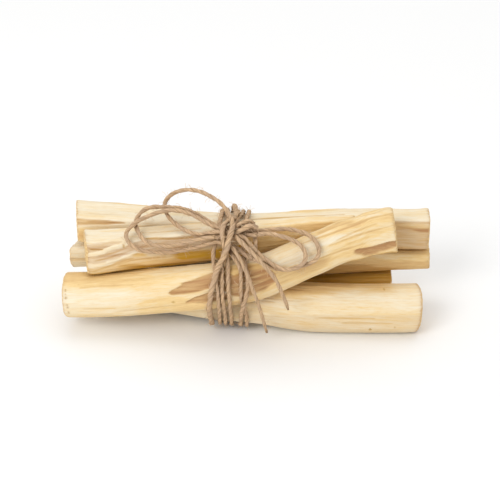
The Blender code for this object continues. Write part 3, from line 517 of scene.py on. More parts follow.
class SplitWoodSettings(bpy.types.PropertyGroup):
    """Sizes and colours of the split wood."""

    ridge_depth: FloatProperty(
        name="Ridge depth", description="How far the split ridges stand out",
        default=0.30 * MM, unit="LENGTH",
    )
    splinter_depth: FloatProperty(
        name="Splinter depth", description="How deep the places are where splinters came off",
        default=0.36 * MM, unit="LENGTH",
    )
    fibre_depth: FloatProperty(
        name="Fibre depth", description="Depth of the fine fibres", default=0.07 * MM, unit="LENGTH"
    )
    chip_depth: FloatProperty(
        name="Chip depth", description="How far the sawn edges are chipped",
        default=0.6 * MM, unit="LENGTH",
    )
    # The wood's own colours, which the painted marks also mix in: pale as painted light and highlight, and
    # brown, golden and dark as painted shade.
    pale: FloatVectorProperty(
        name="Pale wood", description="Colour of the palest wood",
        default=(0.87, 0.77, 0.58, 1.0), subtype="COLOR", size=4,
    )
    warm: FloatVectorProperty(
        name="Warm wood", description="Colour of the yellowest wood",
        default=(0.84, 0.61, 0.29, 1.0), subtype="COLOR", size=4,
    )
    tan: FloatVectorProperty(
        name="Tan wood", description="Colour of the darkest wood that isn't stained",
        default=(0.67, 0.42, 0.18, 1.0), subtype="COLOR", size=4,
    )
    brown: FloatVectorProperty(
        name="Torn wood and shade", description="Colour where the wood tore",
        default=(0.47, 0.25, 0.11, 1.0), subtype="COLOR", size=4,
    )
    golden: FloatVectorProperty(
        name="Resin and shade", description="Colour of wood rich in resin",
        default=(0.60, 0.33, 0.025, 1.0), subtype="COLOR", size=4,
    )
    dark: FloatVectorProperty(
        name="Dark specks and shade", description="Colour of specks and deep splits",
        default=(0.22, 0.090, 0.006, 1.0), subtype="COLOR", size=4,
    )
    roughness: FloatProperty(
        name="Roughness", description="Roughness of bare wood",
        default=0.62, min=0, max=1, subtype="FACTOR",
    )


class TwineSettings(bpy.types.PropertyGroup):
    """Sizes and colours of the jute twine."""

    diameter: FloatProperty(
        name="Diameter", description="Across both plies", default=1.25 * MM, unit="LENGTH"
    )
    twist: FloatProperty(
        name="Twist", description="Length of one full twist of the plies",
        default=6.4 * MM, unit="LENGTH",
    )
    light: FloatVectorProperty(
        name="Light fibre", description="Colour of the lightest fibres",
        default=(0.83, 0.58, 0.35, 1.0), subtype="COLOR", size=4,
    )
    dull: FloatVectorProperty(
        name="Dull fibre", description="Colour of the darker fibres in a ply",
        default=(0.40, 0.25, 0.135, 1.0), subtype="COLOR", size=4,
    )
    patch: FloatVectorProperty(
        name="Patches", description="Colour of the greyer patches along the twine",
        default=(0.50, 0.35, 0.24, 1.0), subtype="COLOR", size=4,
    )
    # Painted shade: this colour darkens the twine between its plies and where it is closed in.
    deep: FloatVectorProperty(
        name="Painted shade", description="Colour between the plies",
        default=(0.23, 0.13, 0.06, 1.0), subtype="COLOR", size=4,
    )
    hair: FloatVectorProperty(
        name="Pale hair", description="Colour of the palest loose fibres",
        default=(0.72, 0.56, 0.38, 1.0), subtype="COLOR", size=4,
    )
    hairs: IntProperty(
        name="Loose fibres", description="Loose fibres for each metre of twine", default=1900
    )
    hair_length: FloatProperty(
        name="Fibre length", description="Length of the longest loose fibres",
        default=2.2 * MM, unit="LENGTH",
    )


class StudioSettings(bpy.types.PropertyGroup):
    """The floor, the lights and the camera."""

    distance: FloatProperty(
        name="Camera distance", description="From the bundle to the camera", default=0.42, unit="LENGTH"
    )
    lens: FloatProperty(name="Lens", description="Focal length in millimetres", default=107.6)
    sky: FloatProperty(name="Sky", description="Strength of the light from all round", default=0.73)
    key: FloatProperty(
        name="Key light", description="Power of the large light above the front", default=2.42
    )
    floor: FloatVectorProperty(
        name="Floor", description="Colour of the floor",
        default=(0.94, 0.94, 0.935, 1.0), subtype="COLOR", size=4,
    )


def smooth_step(t):
    """A number from 0 to 1, eased at both ends."""
    return t * t * (3 - 2 * t)


def noise(u, v, columns, seed):
    """Smooth noise from 0 to 1. Along v it closes on itself after that many columns."""
    lattice = np.random.default_rng(seed).random((LATTICE, columns))
    i, j = np.floor(u).astype(int), np.floor(v).astype(int)
    a, b = smooth_step(u - i), smooth_step(v - j)
    i, j = i % LATTICE, j % columns
    after = (i + 1) % LATTICE
    beside = (j + 1) % columns
    low = lattice[i, j] * (1 - b) + lattice[i, beside] * b
    high = lattice[after, j] * (1 - b) + lattice[after, beside] * b
    return low * (1 - a) + high * a


def blurred(values, spread, axis, closed):
    """Values averaged with their neighbours along one axis, by a bell curve that many steps wide."""
    reach = int(3 * spread) + 1
    steps = range(-reach, reach + 1)
    weights = [math.exp(-0.5 * (s / spread) ** 2) for s in steps]
    padding = [(reach, reach) if a == axis else (0, 0) for a in range(values.ndim)]
    padded = np.pad(values, padding, mode="wrap" if closed else "edge")
    count = values.shape[axis]
    shifted = [np.take(padded, range(reach + s, reach + s + count), axis) for s in steps]
    return sum(w * part for w, part in zip(weights, shifted)) / sum(weights)


def curve_through(points):
    """A smooth curve through the points, with CURVE_STEPS steps from each to the next."""
    points = np.array(points, float)
    slopes = np.gradient(points, axis=0)
    at = np.linspace(0, len(points) - 1, CURVE_STEPS * (len(points) - 1) + 1)
    i = np.minimum(at.astype(int), len(points) - 2)
    t = (at - i)[:, None]
    return (
        (2 * t**3 - 3 * t**2 + 1) * points[i]
        + (t**3 - 2 * t**2 + t) * slopes[i]
        + (3 * t**2 - 2 * t**3) * points[i + 1]
        + (t**3 - t**2) * slopes[i + 1]
    )


def gaps_along(line):
    """The distance from each point of a line to the next."""
    return np.linalg.norm(np.diff(line[:, :3], axis=0), axis=1)


def evenly_spaced(line):
    """The same line, of points with their thickness, with its points PATH_STEP apart."""
    reach = np.concatenate([[0], np.cumsum(gaps_along(line))])
    at = np.linspace(0, reach[-1], max(2, round(reach[-1] / PATH_STEP) + 1))
    return np.stack([np.interp(at, reach, column) for column in line.T], axis=1)


def in_bundle(point, thickness=1.0):
    """An (across, up, toward) point in the frame's own x, y and z, with the twine's thickness there."""
    across, up, toward = point
    place = up * UPWARD + toward * FRONT
    return np.array([across - BUNDLE_CENTRE[0], place[1] - BUNDLE_CENTRE[1], place[2], thickness])


class StickSurface:
    """A stick's skin as a grid of rings along it and steps round it, read from its CAD solid."""

    def __init__(self, node):
        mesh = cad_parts[node].data
        corners = np.array([v.co for v in mesh.vertices]) / MM
        self.tree = BVHTree.FromPolygons(corners.tolist(), [tuple(p.vertices) for p in mesh.polygons])
        angles = np.linspace(0, FULL_TURN, STEPS, endpoint=False)
        self.round_about = np.stack([np.cos(angles), np.sin(angles)], axis=1)
        first, last = corners[:, 0].min(), corners[:, 0].max()
        inner = np.linspace(first + END_MARGIN, last - END_MARGIN, RINGS)
        middle = self.middle_line(corners, inner)
        self.ends = [self.end_plane(inner[i], middle[i], towards) for i, towards in ((0, -1), (-1, 1))]
        self.worn_back = WORN_BACK.get(node, (0.0, 0.0))
        self.places = np.linspace(self.ends[0][0], self.ends[1][0], RINGS)
        self.middle = self.middle_line(corners, self.places)
        offsets = self.skin_offsets(corners, np.clip(self.places, inner[0], inner[-1]))
        self.half_height = float(np.abs(offsets @ UPWARD[1:]).max())
        share = np.linspace(0, 1, RINGS)[:, None]
        along = (1 - share) * self.end_place(0, offsets) + share * self.end_place(1, offsets)
        self.points = np.concatenate([along[:, :, None], self.middle[:, None, :] + offsets], axis=2)
        steps = np.linalg.norm(np.roll(offsets, -1, axis=1) - offsets, axis=2)
        self.girth = float(steps.sum(axis=1).mean())
        self.turn = (np.cumsum(steps, axis=1) - steps) / steps.sum(axis=1, keepdims=True)

    def reach(self, start, direction):
        """How far the solid's skin is from a point, or MISSED where the ray doesn't meet it."""
        distance = self.tree.ray_cast(start, direction)[3]
        return MISSED if distance is None else distance

    @staticmethod
    def middle_line(corners, places):
        """The middle of the solid at each place along it, as y and z."""
        weights = np.exp(-(((corners[None, :, 0] - places[:, None]) / MIDDLE_REACH) ** 2))
        return weights @ corners[:, 1:] / weights.sum(axis=1, keepdims=True)

    def skin_offsets(self, corners, places):
        """Each point of the skin as y and z from the middle, smoothed over the solid's facets."""
        radius = np.array([
            [self.reach((x, *middle), (0, *outward)) for outward in self.round_about]
            for x, middle in zip(places, self.middle_line(corners, places))
        ])
        radius = blurred(radius, BLUR_STEPS, axis=1, closed=True)
        radius = blurred(radius, BLUR_RINGS, axis=0, closed=False)
        return radius[:, :, None] * self.round_about

    def end_plane(self, place, middle, towards):
        """A sawn end as its x in the middle, and how much x changes for each millimetre of y and z."""
        offsets = np.concatenate([spot * self.round_about[::8] for spot in END_SPOTS])
        hits = [self.reach((place, *(middle + o)), (towards, 0, 0)) for o in offsets]
        known = np.column_stack([np.ones(len(offsets)), offsets])
        return np.linalg.lstsq(known, place + towards * np.array(hits), rcond=None)[0]

    def end_place(self, side, offsets):
        """The x of a sawn end, the left one for 0, at y and z offsets from the stick's middle."""
        plane = self.ends[side]
        height = np.clip(np.abs(offsets @ UPWARD[1:]) / self.half_height, 0, 1)
        inward = (1, -1)[side] * self.worn_back[side]
        return plane[0] + offsets @ np.array(plane[1:]) + inward * height**3

    def seen_at(self):
        """Where each point is on the bundle's front, as across and up."""
        across = self.points[:, :, 0] + BUNDLE_CENTRE[0]
        upward = (self.points[:, :, 1:] + [BUNDLE_CENTRE[1], 0]) @ UPWARD[1:]
        return across, upward

    def facing(self, direction, low, high):
        """How much each step faces a direction in y and z: 0 below low, and 1 above high."""
        return np.clip((self.round_about @ direction - low) / (high - low), 0, 1)[None, :]

    def grain(self, length, width, seed):
        """Noise drawn out along the grain, about that long and that wide."""
        columns = max(3, round(self.girth / width))
        return noise((self.points[:, :, 0] + 90) / length, self.turn * columns, columns, seed)


@functools.cache
def stick_surface(node):
    """The surface of a stick, read once."""
    return StickSurface(node)


def gap_to_others(surface, node):
    """How far each point of a stick is from the nearest other stick, in millimetres and at most NEAR."""
    coarse = surface.points[::NEAR_STEP, ::NEAR_STEP]
    gaps = np.full(coarse.shape[:2], NEAR)
    for other in MARKS:
        if other == node:
            continue
        tree = stick_surface(other).tree
        for i, j in np.ndindex(gaps.shape):
            distance = tree.find_nearest(Vector(coarse[i, j]), gaps[i, j])[3]
            if distance is not None:
                gaps[i, j] = distance
    return np.repeat(np.repeat(gaps, NEAR_STEP, axis=0), NEAR_STEP, axis=1)[:RINGS, :STEPS]


def strip_mask(surface, stations, softness, seed):
    """How much a strip on a stick's front covers each point, from 0 to 1, with slightly ragged edges."""
    across, upward = surface.seen_at()
    places, uppers, lowers = zip(*stations)
    upper, lower = np.interp(across, places, uppers), np.interp(across, places, lowers)
    ragged = RAGGED * (surface.grain(*RAGGED_GRAIN, seed) - 0.5)
    room = np.minimum(upper - upward, upward - lower)
    room += ragged * np.clip((upper - lower) / 1.5, 0, 1)
    from_ends = np.minimum(across - places[0], places[-1] - across)
    inside = np.minimum(room / softness + 0.5, POINTED * from_ends / softness)
    return smooth_step(np.clip(inside, 0, 1)) * surface.facing(FRONT[1:], -0.25, 0.05)


def add_marks(surface, node, relief, stains_and_shade, tone):
    """Cuts a stick's marks into its relief, and adds their stains and their paleness, some of which are
    painted light and shade.
    """
    ribs = np.abs(2 * surface.grain(*RIBS, RIB_SEED + len(node)) - 1)
    for number, (kind, stations) in enumerate(MARKS[node]):
        depth, softness, colours, paler, ribbed, wiped = MARK_KINDS[kind]
        mask = strip_mask(surface, stations, softness, MARK_SEED + number)
        relief *= 1 - wiped * mask
        relief -= mask * (depth + RIB_DEPTH * ribbed * (ribs - 0.4))
        uneven = ribbed * (ribs - 0.45)
        stains_and_shade *= 1 - wiped * mask[:, :, None]
        stains_and_shade += (mask * (1 + RIB_STAIN * uneven))[:, :, None] * np.array(colours)
        tone += mask * paler * (1 + RIB_TONE * uneven)


def from_line(surface, turn, drift):
    """How far round the skin each point is from a line along it, which starts at turn and drifts."""
    return np.abs((surface.turn - turn - drift + 0.5) % 1 - 0.5) * surface.girth


def add_splinters(surface, settings, relief, stains_and_shade, tone, seed):
    """Leaves long pointed places all round a stick where splinters came off, fainter on its front."""
    chance = np.random.default_rng(seed)
    quiet = 1 - surface.facing(FRONT[1:], -0.2, 0.3)
    ragged = 0.5 * (surface.grain(5.0, 0.6, seed + 1) - 0.5)
    ribs = np.abs(2 * surface.grain(15.0, 0.75, seed + 2) - 1)
    for _ in range(SPLINTERS):
        length, half_width = chance.uniform(*SPLINTER_LENGTH), chance.uniform(*SPLINTER_HALF_WIDTH)
        start = chance.uniform(surface.places[0] - 0.4 * length, surface.places[-1] - 0.6 * length)
        share = (surface.points[:, :, 0] - start) / length
        share = 1 - share if chance.random() < 0.5 else share
        turn, drift = chance.random(), chance.uniform(-SPLINTER_DRIFT, SPLINTER_DRIFT)
        beside = from_line(surface, turn, drift * share)
        width = half_width * np.clip(share * 1.3, 0, 1) ** 0.8 * np.clip((1 - share) * 8, 0, 1) ** 0.5
        inside = np.clip((width - beside + ragged) / SPLINTER_EDGE + 0.5, 0, 1) * np.clip(width / 0.3, 0, 1)
        mask = smooth_step(inside) * ((share > 0) & (share < 1))
        depth = chance.uniform(*SPLINTER_DEPTH) * settings.splinter_depth / MM
        relief -= mask * (ON_FRONT_DEPTH + (1 - ON_FRONT_DEPTH) * quiet) * (depth + 0.12 * (ribs - 0.4))
        stained_and_shade, golden, paler = chance.random(), chance.random(), chance.uniform(*SPLINTER_TONE)
        stains_and_shade[:, :, 0] += mask * quiet * 0.9 * max(0.0, stained_and_shade - 0.55) * (0.7 + 0.5 * ribs)
        stains_and_shade[:, :, 1] += mask * quiet * 4.0 * max(0.0, golden - 0.85)
        tone += mask * (ON_FRONT_TONE + (1 - ON_FRONT_TONE) * quiet) * paler


def add_splits(surface, relief, stains_and_shade, seed):
    """Adds fine splits along the grain, all round the stick."""
    chance = np.random.default_rng(seed)
    for _ in range(SPLITS):
        start = chance.uniform(surface.places[0] - 4, surface.places[-1] - 10)
        length, turn = chance.uniform(*SPLIT_LENGTH), chance.random()
        drift = chance.uniform(-SPLIT_DRIFT, SPLIT_DRIFT)
        along = surface.points[:, :, 0] - start
        taper = np.clip(np.minimum(along, length - along) / SPLIT_TAPER, 0, 1)
        mask = np.clip(1 - from_line(surface, turn, drift * along) / SPLIT_HALF_WIDTH, 0, 1) * taper
        relief -= mask * chance.uniform(*SPLIT_DEPTH)
        stains_and_shade[:, :, 0] += 0.25 * mask
        stains_and_shade[:, :, 2] += 0.10 * mask


def stick_relief(surface, node, settings, seed):
    """A stick's skin over its CAD surface: its height in millimetres, its stains with painted shade, and its
    paleness.
    """
    ridge, fibre = settings.ridge_depth / MM, settings.fibre_depth / MM
    broad = surface.grain(*BROAD, seed)
    ridges = 1 - np.abs(2 * surface.grain(*RIDGED, seed + 1) - 1)
    steps = surface.grain(*STEPPED, seed + 2)
    fibres = surface.grain(*FIBROUS, seed + 3)
    relief = ridge * (0.5 * (broad - 0.5) + 0.7 * (ridges - 0.6) + 0.45 * (steps - 0.5))
    relief += fibre * (fibres - 0.5)
    stains_and_shade = np.zeros((RINGS, STEPS, 3))
    streaks = sum(
        weight * (surface.grain(length, width, seed + 4 + number) - 0.5)
        for number, (length, width, weight) in enumerate(STREAKS)
    )
    left, right, streaky = STICK_TONES[node]
    share = np.linspace(0, 1, RINGS)[:, None]
    tone = left + (right - left) * share + streaky * streaks + 0.55 * (broad - 0.5)
    add_splinters(surface, settings, relief, stains_and_shade, tone, seed + 10)
    add_splits(surface, relief, stains_and_shade, seed + 20)
    add_marks(surface, node, relief, stains_and_shade, tone)
    # Painted shade: golden and dark near the other sticks, weaker on faces that look up.
    gap = blurred(gap_to_others(surface, node), 1.5, axis=0, closed=False)
    gap = blurred(gap, 1.5, axis=1, closed=True)
    beneath = 1 - 0.6 * surface.facing(np.array([0.0, 1.0]), 0.2, 0.8)
    for column, (strength, reach) in ((1, CLOSE_SHADE_GOLDEN), (2, CLOSE_SHADE_DARK)):
        stains_and_shade[:, :, column] += strength * np.exp(-gap / reach) * beneath
    tied = np.exp(-(((surface.points[:, :, 0] - TIED_MIDDLE) / TIED_REACH) ** 4))
    relief = np.where(relief > 0, relief * (1 - 0.9 * tied), relief * (1 - 0.35 * tied))
    return relief, np.clip(stains_and_shade, 0, 1), np.clip(tone, -1, 1)


def sawn_end(surface, rim, side, seed):
    """The points of one sawn end, ring by ring from inside its edge, and its middle."""
    middle = rim.mean(axis=0)
    centre = surface.middle[(0, -1)[side]]
    outward = (-1, 1)[side]
    rings = []
    for k in range(1, END_RINGS + 1):
        ring = middle + (rim - middle) * (1 - k / (END_RINGS + 0.5))
        cut = noise(ring[:, 1] / 0.55 + 40, ring[:, 2] / 4.0 + 40, 64, seed) - 0.5
        pores = noise(ring[:, 1] / 0.6 + 30, ring[:, 2] / 0.6 + 30, 64, seed + 1) - 0.5
        ring[:, 0] = surface.end_place(side, ring[:, 1:] - centre)
        ring[:, 0] += outward * (SAW_DEPTH * cut + PORE_DEPTH * pores)
        rings.append(ring)
    middle[0] = surface.end_place(side, middle[1:] - centre)
    return rings, middle


def stick_points(surface, relief, settings, seed):
    """The stick's skin with its relief, worn and chipped at both ends."""
    outward = np.zeros((STEPS, 3))
    outward[:, 1:] = surface.round_about
    from_start = (surface.places - surface.places[0])[:, None]
    from_end = (surface.places[-1] - surface.places)[:, None]
    worn = EDGE_WEAR * np.exp(-np.minimum(from_start, from_end) / EDGE_LENGTH)
    points = surface.points + (relief - worn)[:, :, None] * outward
    for side, distance in ((1, from_start), (-1, from_end)):
        rim = 0 if side == 1 else -1
        chips = np.clip(surface.grain(60.0, 1.1, seed + side) - 0.5, 0, 1)[rim]
        burr = surface.grain(60.0, 0.4, seed + 3 * side)[rim] - 0.3
        inset = settings.chip_depth / MM * (chips + 0.4 * burr)
        points[:, :, 0] += side * inset[None, :] * np.exp(-distance / CHIP_LENGTH)
    points[:, :, 2] = np.maximum(points[:, :, 2], 0.0)
    return points


def skin_faces():
    """The faces between the rings along a stick."""
    points = np.arange(RINGS * STEPS).reshape(RINGS, STEPS)
    beside = np.roll(points, -1, axis=1)
    return np.stack([points[:-1], beside[:-1], beside[1:], points[1:]], axis=2).reshape(-1, 4).tolist()


def end_faces(ring, inner, side):
    """The faces from a ring of a sawn end to the next one, or to its middle if inner is one point."""
    nearer = [inner, np.roll(inner, -1)] if len(inner) > 1 else [np.repeat(inner, STEPS)]
    faces = np.stack([np.roll(ring, -1), ring, *nearer], axis=1)
    return (faces if side == 0 else faces[:, ::-1]).tolist()


def stick_shape(surface, skin, seed):
    """All of a stick's points and faces: its skin, and both sawn ends."""
    sets, faces = [skin.reshape(-1, 3)], skin_faces()
    count = RINGS * STEPS
    for side in (0, 1):
        rings, middle = sawn_end(surface, skin[(0, -1)[side]], side, seed + side)
        before = np.arange(STEPS) + (0, (RINGS - 1) * STEPS)[side]
        for points in (*rings, middle[None, :]):
            inner = np.arange(count, count + len(points))
            faces += end_faces(before, inner, side)
            sets.append(points)
            count += len(points)
            before = inner
    return np.concatenate(sets), faces


def add_edge_brown(surface, node, stains_and_shade, near_end, seed):
    """Makes the edge of both sawn ends browner, with dark specks in patches."""
    specks = np.clip((surface.grain(0.9, 0.7, seed) - 0.5) * 6, 0, 1)
    patchy = np.clip((surface.grain(9.0, 5.0, seed + 1) - 0.42) * 4, 0, 1)
    brown = EDGE_BROWN.get(node, USUAL_EDGE_BROWN)
    stains_and_shade[:, :, 0] += brown * np.exp(-near_end / 0.35)[:, None]
    stains_and_shade[:, :, 2] += 0.22 * specks * patchy * np.exp(-((near_end / 0.75) ** 2))[:, None]


def store(mesh, name, values):
    """Stores a number or a vector for each of a mesh's points."""
    kind, key = ("FLOAT_VECTOR", "vector") if np.ndim(values) == 2 else ("FLOAT", "value")
    mesh.attributes.new(name, kind, "POINT").data.foreach_set(key, np.ravel(values))


def build_stick(node, settings, seed):
    """A stick's mesh in metres, with its grain, its stains and tone with painted light and shade, and its
    sawn ends as attributes.
    """
    surface = stick_surface(node)
    relief, stains_and_shade, tone = stick_relief(surface, node, settings, seed)
    near_end = np.minimum(surface.places - surface.places[0], surface.places[-1] - surface.places)
    add_edge_brown(surface, node, stains_and_shade, near_end, seed + 30)
    points, faces = stick_shape(surface, stick_points(surface, relief, settings, seed), seed + 20)
    points[:, 2] = np.maximum(points[:, 2], 0.0)
    mesh = bpy.data.meshes.new(node)
    mesh.from_pydata(points * MM, [], faces)
    mesh.shade_smooth()
    pith = PITH * np.array([math.cos(seed), math.sin(seed)])
    middles = [np.interp(points[:, 0], surface.places, surface.middle[:, k]) for k in (0, 1)]
    from_pith = points[:, 1:] - np.stack(middles, axis=1) + pith
    ends = len(points) - RINGS * STEPS
    store(mesh, "grain", np.concatenate([points[:, :1] + 200 * seed, from_pith], axis=1))
    store(mesh, "stains_and_shade", np.concatenate([np.clip(stains_and_shade, 0, 1).reshape(-1, 3), np.zeros((ends, 3))]))
    store(mesh, "tone", np.concatenate([tone.ravel(), np.full(ends, END_TONE)]))
    store(mesh, "sawn", np.concatenate([np.repeat(np.exp(-near_end / 0.2), STEPS), np.ones(ends)]))
    return mesh


def add_node(tree, kind, inputs=None, **settings):
    """A new node with its settings made, and its inputs set or linked by name or number."""
    node = tree.nodes.new(kind)
    for key, value in settings.items():
        setattr(node, key, value)
    for key, value in (inputs or {}).items():
        if isinstance(value, bpy.types.NodeSocket):
            tree.links.new(value, node.inputs[key])
        else:
            node.inputs[key].default_value = value
    return node


def math_node(tree, operation, *values):
    """The result of a Math node on one to three numbers or sockets."""
    return add_node(tree, "ShaderNodeMath", dict(enumerate(values)), operation=operation).outputs[0]


def vector_node(tree, operation, vector, other):
    """The result of a Vector Math node. To scale the vector, the other is a number."""
    key = "Scale" if operation == "SCALE" else 1
    return add_node(tree, "ShaderNodeVectorMath", {0: vector, key: other}, operation=operation).outputs[0]


def attribute(tree, name, output="Fac"):
    """What a mesh's points store under that name, as a number or, with output Vector, as a vector."""
    return add_node(tree, "ShaderNodeAttribute", attribute_name=name).outputs[output]


def speckle(tree, vector, scale, detail):
    """Noise that is as long as it is wide."""
    inputs = {"Vector": vector, "Scale": scale, "Detail": detail}
    return add_node(tree, "ShaderNodeTexNoise", inputs).outputs[0]


def layered(tree, colour, *layers):
    """A colour with others laid over it in turn, each given as its share and its colour."""
    for share, over in layers:
        node = add_node(tree, "ShaderNodeMix", {0: share, 6: colour, 7: over}, data_type="RGBA")
        colour = node.outputs[2]
    return colour


def new_group(name, kind, inputs, outputs):
    """A node group with its named sockets: (group, input node, output node)."""
    group = bpy.data.node_groups.new(name, kind)
    for socket_name, socket_type, default in inputs:
        socket = group.interface.new_socket(socket_name, in_out="INPUT", socket_type=socket_type)
        if default is not None:
            socket.default_value = default
    for socket_name, socket_type in outputs:
        group.interface.new_socket(socket_name, in_out="OUTPUT", socket_type=socket_type)
    return group, group.nodes.new("NodeGroupInput"), group.nodes.new("NodeGroupOutput")


def drawn_out_noise_group():
    """A shader group: noise drawn out along a vector's first axis, as grain and fibres are."""
    group, given, result = new_group(
        "drawn_out_noise",
        "ShaderNodeTree",
        [
            ("Vector", "NodeSocketVector", None),
            ("Across Scale", "NodeSocketFloat", 1.0),
            ("Draw Out", "NodeSocketFloat", 12.0),
            ("Waviness", "NodeSocketFloat", 0.5),
            ("Detail", "NodeSocketFloat", 3.0),
        ],
        [("Value", "NodeSocketFloat")],
    )
    vector = given.outputs["Vector"]
    wander = add_node(group, "ShaderNodeTexNoise", {"Vector": vector, "Scale": 0.07, "Detail": 1.0})
    centred = vector_node(group, "SUBTRACT", wander.outputs["Color"], (0.5, 0.5, 0.5))
    shift = vector_node(group, "SCALE", centred, given.outputs["Waviness"])
    moved = vector_node(group, "ADD", vector, shift)
    along = math_node(group, "DIVIDE", 1.0, given.outputs["Draw Out"])
    squeeze = add_node(group, "ShaderNodeCombineXYZ", {0: along, 1: 1.0, 2: 1.0}).outputs[0]
    settings = {
        "Vector": vector_node(group, "MULTIPLY", moved, squeeze),
        "Scale": given.outputs["Across Scale"],
        "Detail": given.outputs["Detail"],
        "Roughness": 0.55,
    }
    group.links.new(add_node(group, "ShaderNodeTexNoise", settings).outputs[0], result.inputs[0])
    return group


def drawn_out_noise(tree, vector, scale, draw_out, waviness, detail):
    """Places the shared group in a material and gives its value."""
    group = bpy.data.node_groups.get("drawn_out_noise") or drawn_out_noise_group()
    inputs = {"Vector": vector, "Across Scale": scale, "Draw Out": draw_out}
    inputs |= {"Waviness": waviness, "Detail": detail}
    return add_node(tree, "ShaderNodeGroup", inputs, node_tree=group).outputs["Value"]


def ranged(tree, value, low, high, to_low=0.0, to_high=1.0):
    """A value between low and high, brought to between two others and held there."""
    inputs = {0: value, 1: low, 2: high, 3: to_low, 4: to_high}
    return add_node(tree, "ShaderNodeMapRange", inputs).outputs[0]


def new_material(name):
    """A material with an empty tree but for its Principled BSDF: (material, tree, shader)."""
    material = bpy.data.materials.new(name)
    material.use_nodes = True
    tree = material.node_tree
    return material, tree, tree.nodes["Principled BSDF"]


def split_colour(tree, settings, grain, streaks, fibres):
    """The colour of a stick's split sides: pale, warm and tan wood with the stick's stains and painted shade
    over it.
    """
    stains_and_shade = add_node(tree, "ShaderNodeSeparateXYZ", {0: attribute(tree, "stains_and_shade", "Vector")}).outputs
    flecks = drawn_out_noise(tree, grain, scale=3.2, draw_out=5.0, waviness=0.6, detail=2.0)
    paleness = math_node(tree, "ADD", attribute(tree, "tone"), ranged(tree, streaks, 0.3, 0.7, 0.22, -0.22))
    paleness = math_node(tree, "ADD", paleness, ranged(tree, fibres, 0.3, 0.7, 0.20, -0.20))
    uneven = ranged(tree, streaks, 0.3, 0.7, 0.75, 1.25)
    return layered(
        tree,
        tuple(settings.warm),
        (ranged(tree, paleness, 0.0, 1.0), tuple(settings.pale)),
        (ranged(tree, paleness, 0.0, -1.0), tuple(settings.tan)),
        (ranged(tree, fibres, 0.56, 0.76, 0.0, 0.22), tuple(settings.tan)),
        (ranged(tree, flecks, 0.70, 0.80, 0.0, 0.25), tuple(settings.brown)),
        (math_node(tree, "MULTIPLY", stains_and_shade[0], uneven), tuple(settings.brown)),
        (math_node(tree, "MULTIPLY", stains_and_shade[1], uneven), tuple(settings.golden)),
        (stains_and_shade[2], tuple(settings.dark)),
    )


def sawn_colour(tree, settings, grain, pores):
    """The colour of a sawn end: growth rings, and pores."""
    rings = add_node(
        tree,
        "ShaderNodeTexWave",
        {"Vector": grain, "Scale": 0.26, "Distortion": 2.4, "Detail": 2.0, "Detail Scale": 1.0},
        wave_type="RINGS",
        rings_direction="X",
    ).outputs["Fac"]
    return layered(
        tree,
        tuple(settings.warm),
        (ranged(tree, rings, 0.1, 1.0, 0.0, 0.7), tuple(settings.tan)),
        (ranged(tree, pores, 0.55, 0.75, 0.0, 0.7), tuple(settings.brown)),
    )


def add_bump(tree, shader, strength, distance, height):
    """Gives a shader relief that is too fine for the mesh."""
    bump = add_node(tree, "ShaderNodeBump", {"Strength": strength, "Distance": distance, "Height": height})
    tree.links.new(bump.outputs[0], shader.inputs["Normal"])


def wood_material(settings):
    """Split palo santo: streaks, stains and fibres, and end grain where it is sawn."""
    material, tree, shader = new_material("split_palo_santo")
    grain, sawn = attribute(tree, "grain", "Vector"), attribute(tree, "sawn")
    streaks = drawn_out_noise(tree, grain, scale=2.0, draw_out=14.0, waviness=1.4, detail=4.0)
    fibres = drawn_out_noise(tree, grain, scale=3.4, draw_out=9.0, waviness=1.2, detail=4.0)
    pores = speckle(tree, grain, 3.4, 3.0)
    side = split_colour(tree, settings, grain, streaks, fibres)
    end = sawn_colour(tree, settings, grain, pores)
    colour = layered(tree, side, (ranged(tree, sawn, 0.25, 0.9), end))
    tree.links.new(colour, shader.inputs["Base Color"])
    rough = ranged(tree, streaks, 0.3, 0.7, settings.roughness - 0.1, settings.roughness + 0.12)
    tree.links.new(rough, shader.inputs["Roughness"])
    shader.inputs["Specular IOR Level"].default_value = 0.3
    height = math_node(tree, "MULTIPLY_ADD", fibres, 0.6, math_node(tree, "MULTIPLY", streaks, 0.8))
    height = math_node(tree, "MULTIPLY_ADD", pores, ranged(tree, sawn, 0.2, 0.8, 0.0, 1.5), height)
    add_bump(tree, shader, 0.65, 0.22 * MM, height)
    return material


def twine_material(settings):
    """Jute: light and dull fibres along the plies, with painted shade between the plies and where it is
    closed in.
    """
    material, tree, shader = new_material("jute_fibres")
    turned = math_node(tree, "MULTIPLY", attribute(tree, "about"), FULL_TURN)
    sine, cosine = math_node(tree, "SINE", turned), math_node(tree, "COSINE", turned)
    lengthwise = math_node(tree, "MULTIPLY", attribute(tree, "along"), 1 / MM)
    place = add_node(tree, "ShaderNodeCombineXYZ", {0: lengthwise, 1: sine, 2: cosine}).outputs[0]
    fibres = drawn_out_noise(tree, place, scale=5.0, draw_out=9.0, waviness=1.0, detail=3.0)
    patches = drawn_out_noise(tree, place, scale=0.5, draw_out=3.0, waviness=1.0, detail=2.0)
    colour = layered(
        tree,
        tuple(settings.light),
        (ranged(tree, fibres, 0.35, 0.68), tuple(settings.dull)),
        (ranged(tree, patches, 0.40, 0.66, 0.0, 0.6), tuple(settings.patch)),
        (ranged(tree, attribute(tree, "lobe"), 0.5, 0.05, 0.0, 0.5), tuple(settings.deep)),
        (ranged(tree, attribute(tree, "painted_shade_and_tips"), 0.08, 0.62, 0.0, 0.95), tuple(settings.deep)),
    )
    tree.links.new(colour, shader.inputs["Base Color"])
    tree.links.new(ranged(tree, fibres, 0.3, 0.7, 0.78, 0.95), shader.inputs["Roughness"])
    shader.inputs["Specular IOR Level"].default_value = 0.15
    add_bump(tree, shader, 1.0, 0.16 * MM, fibres)
    return material


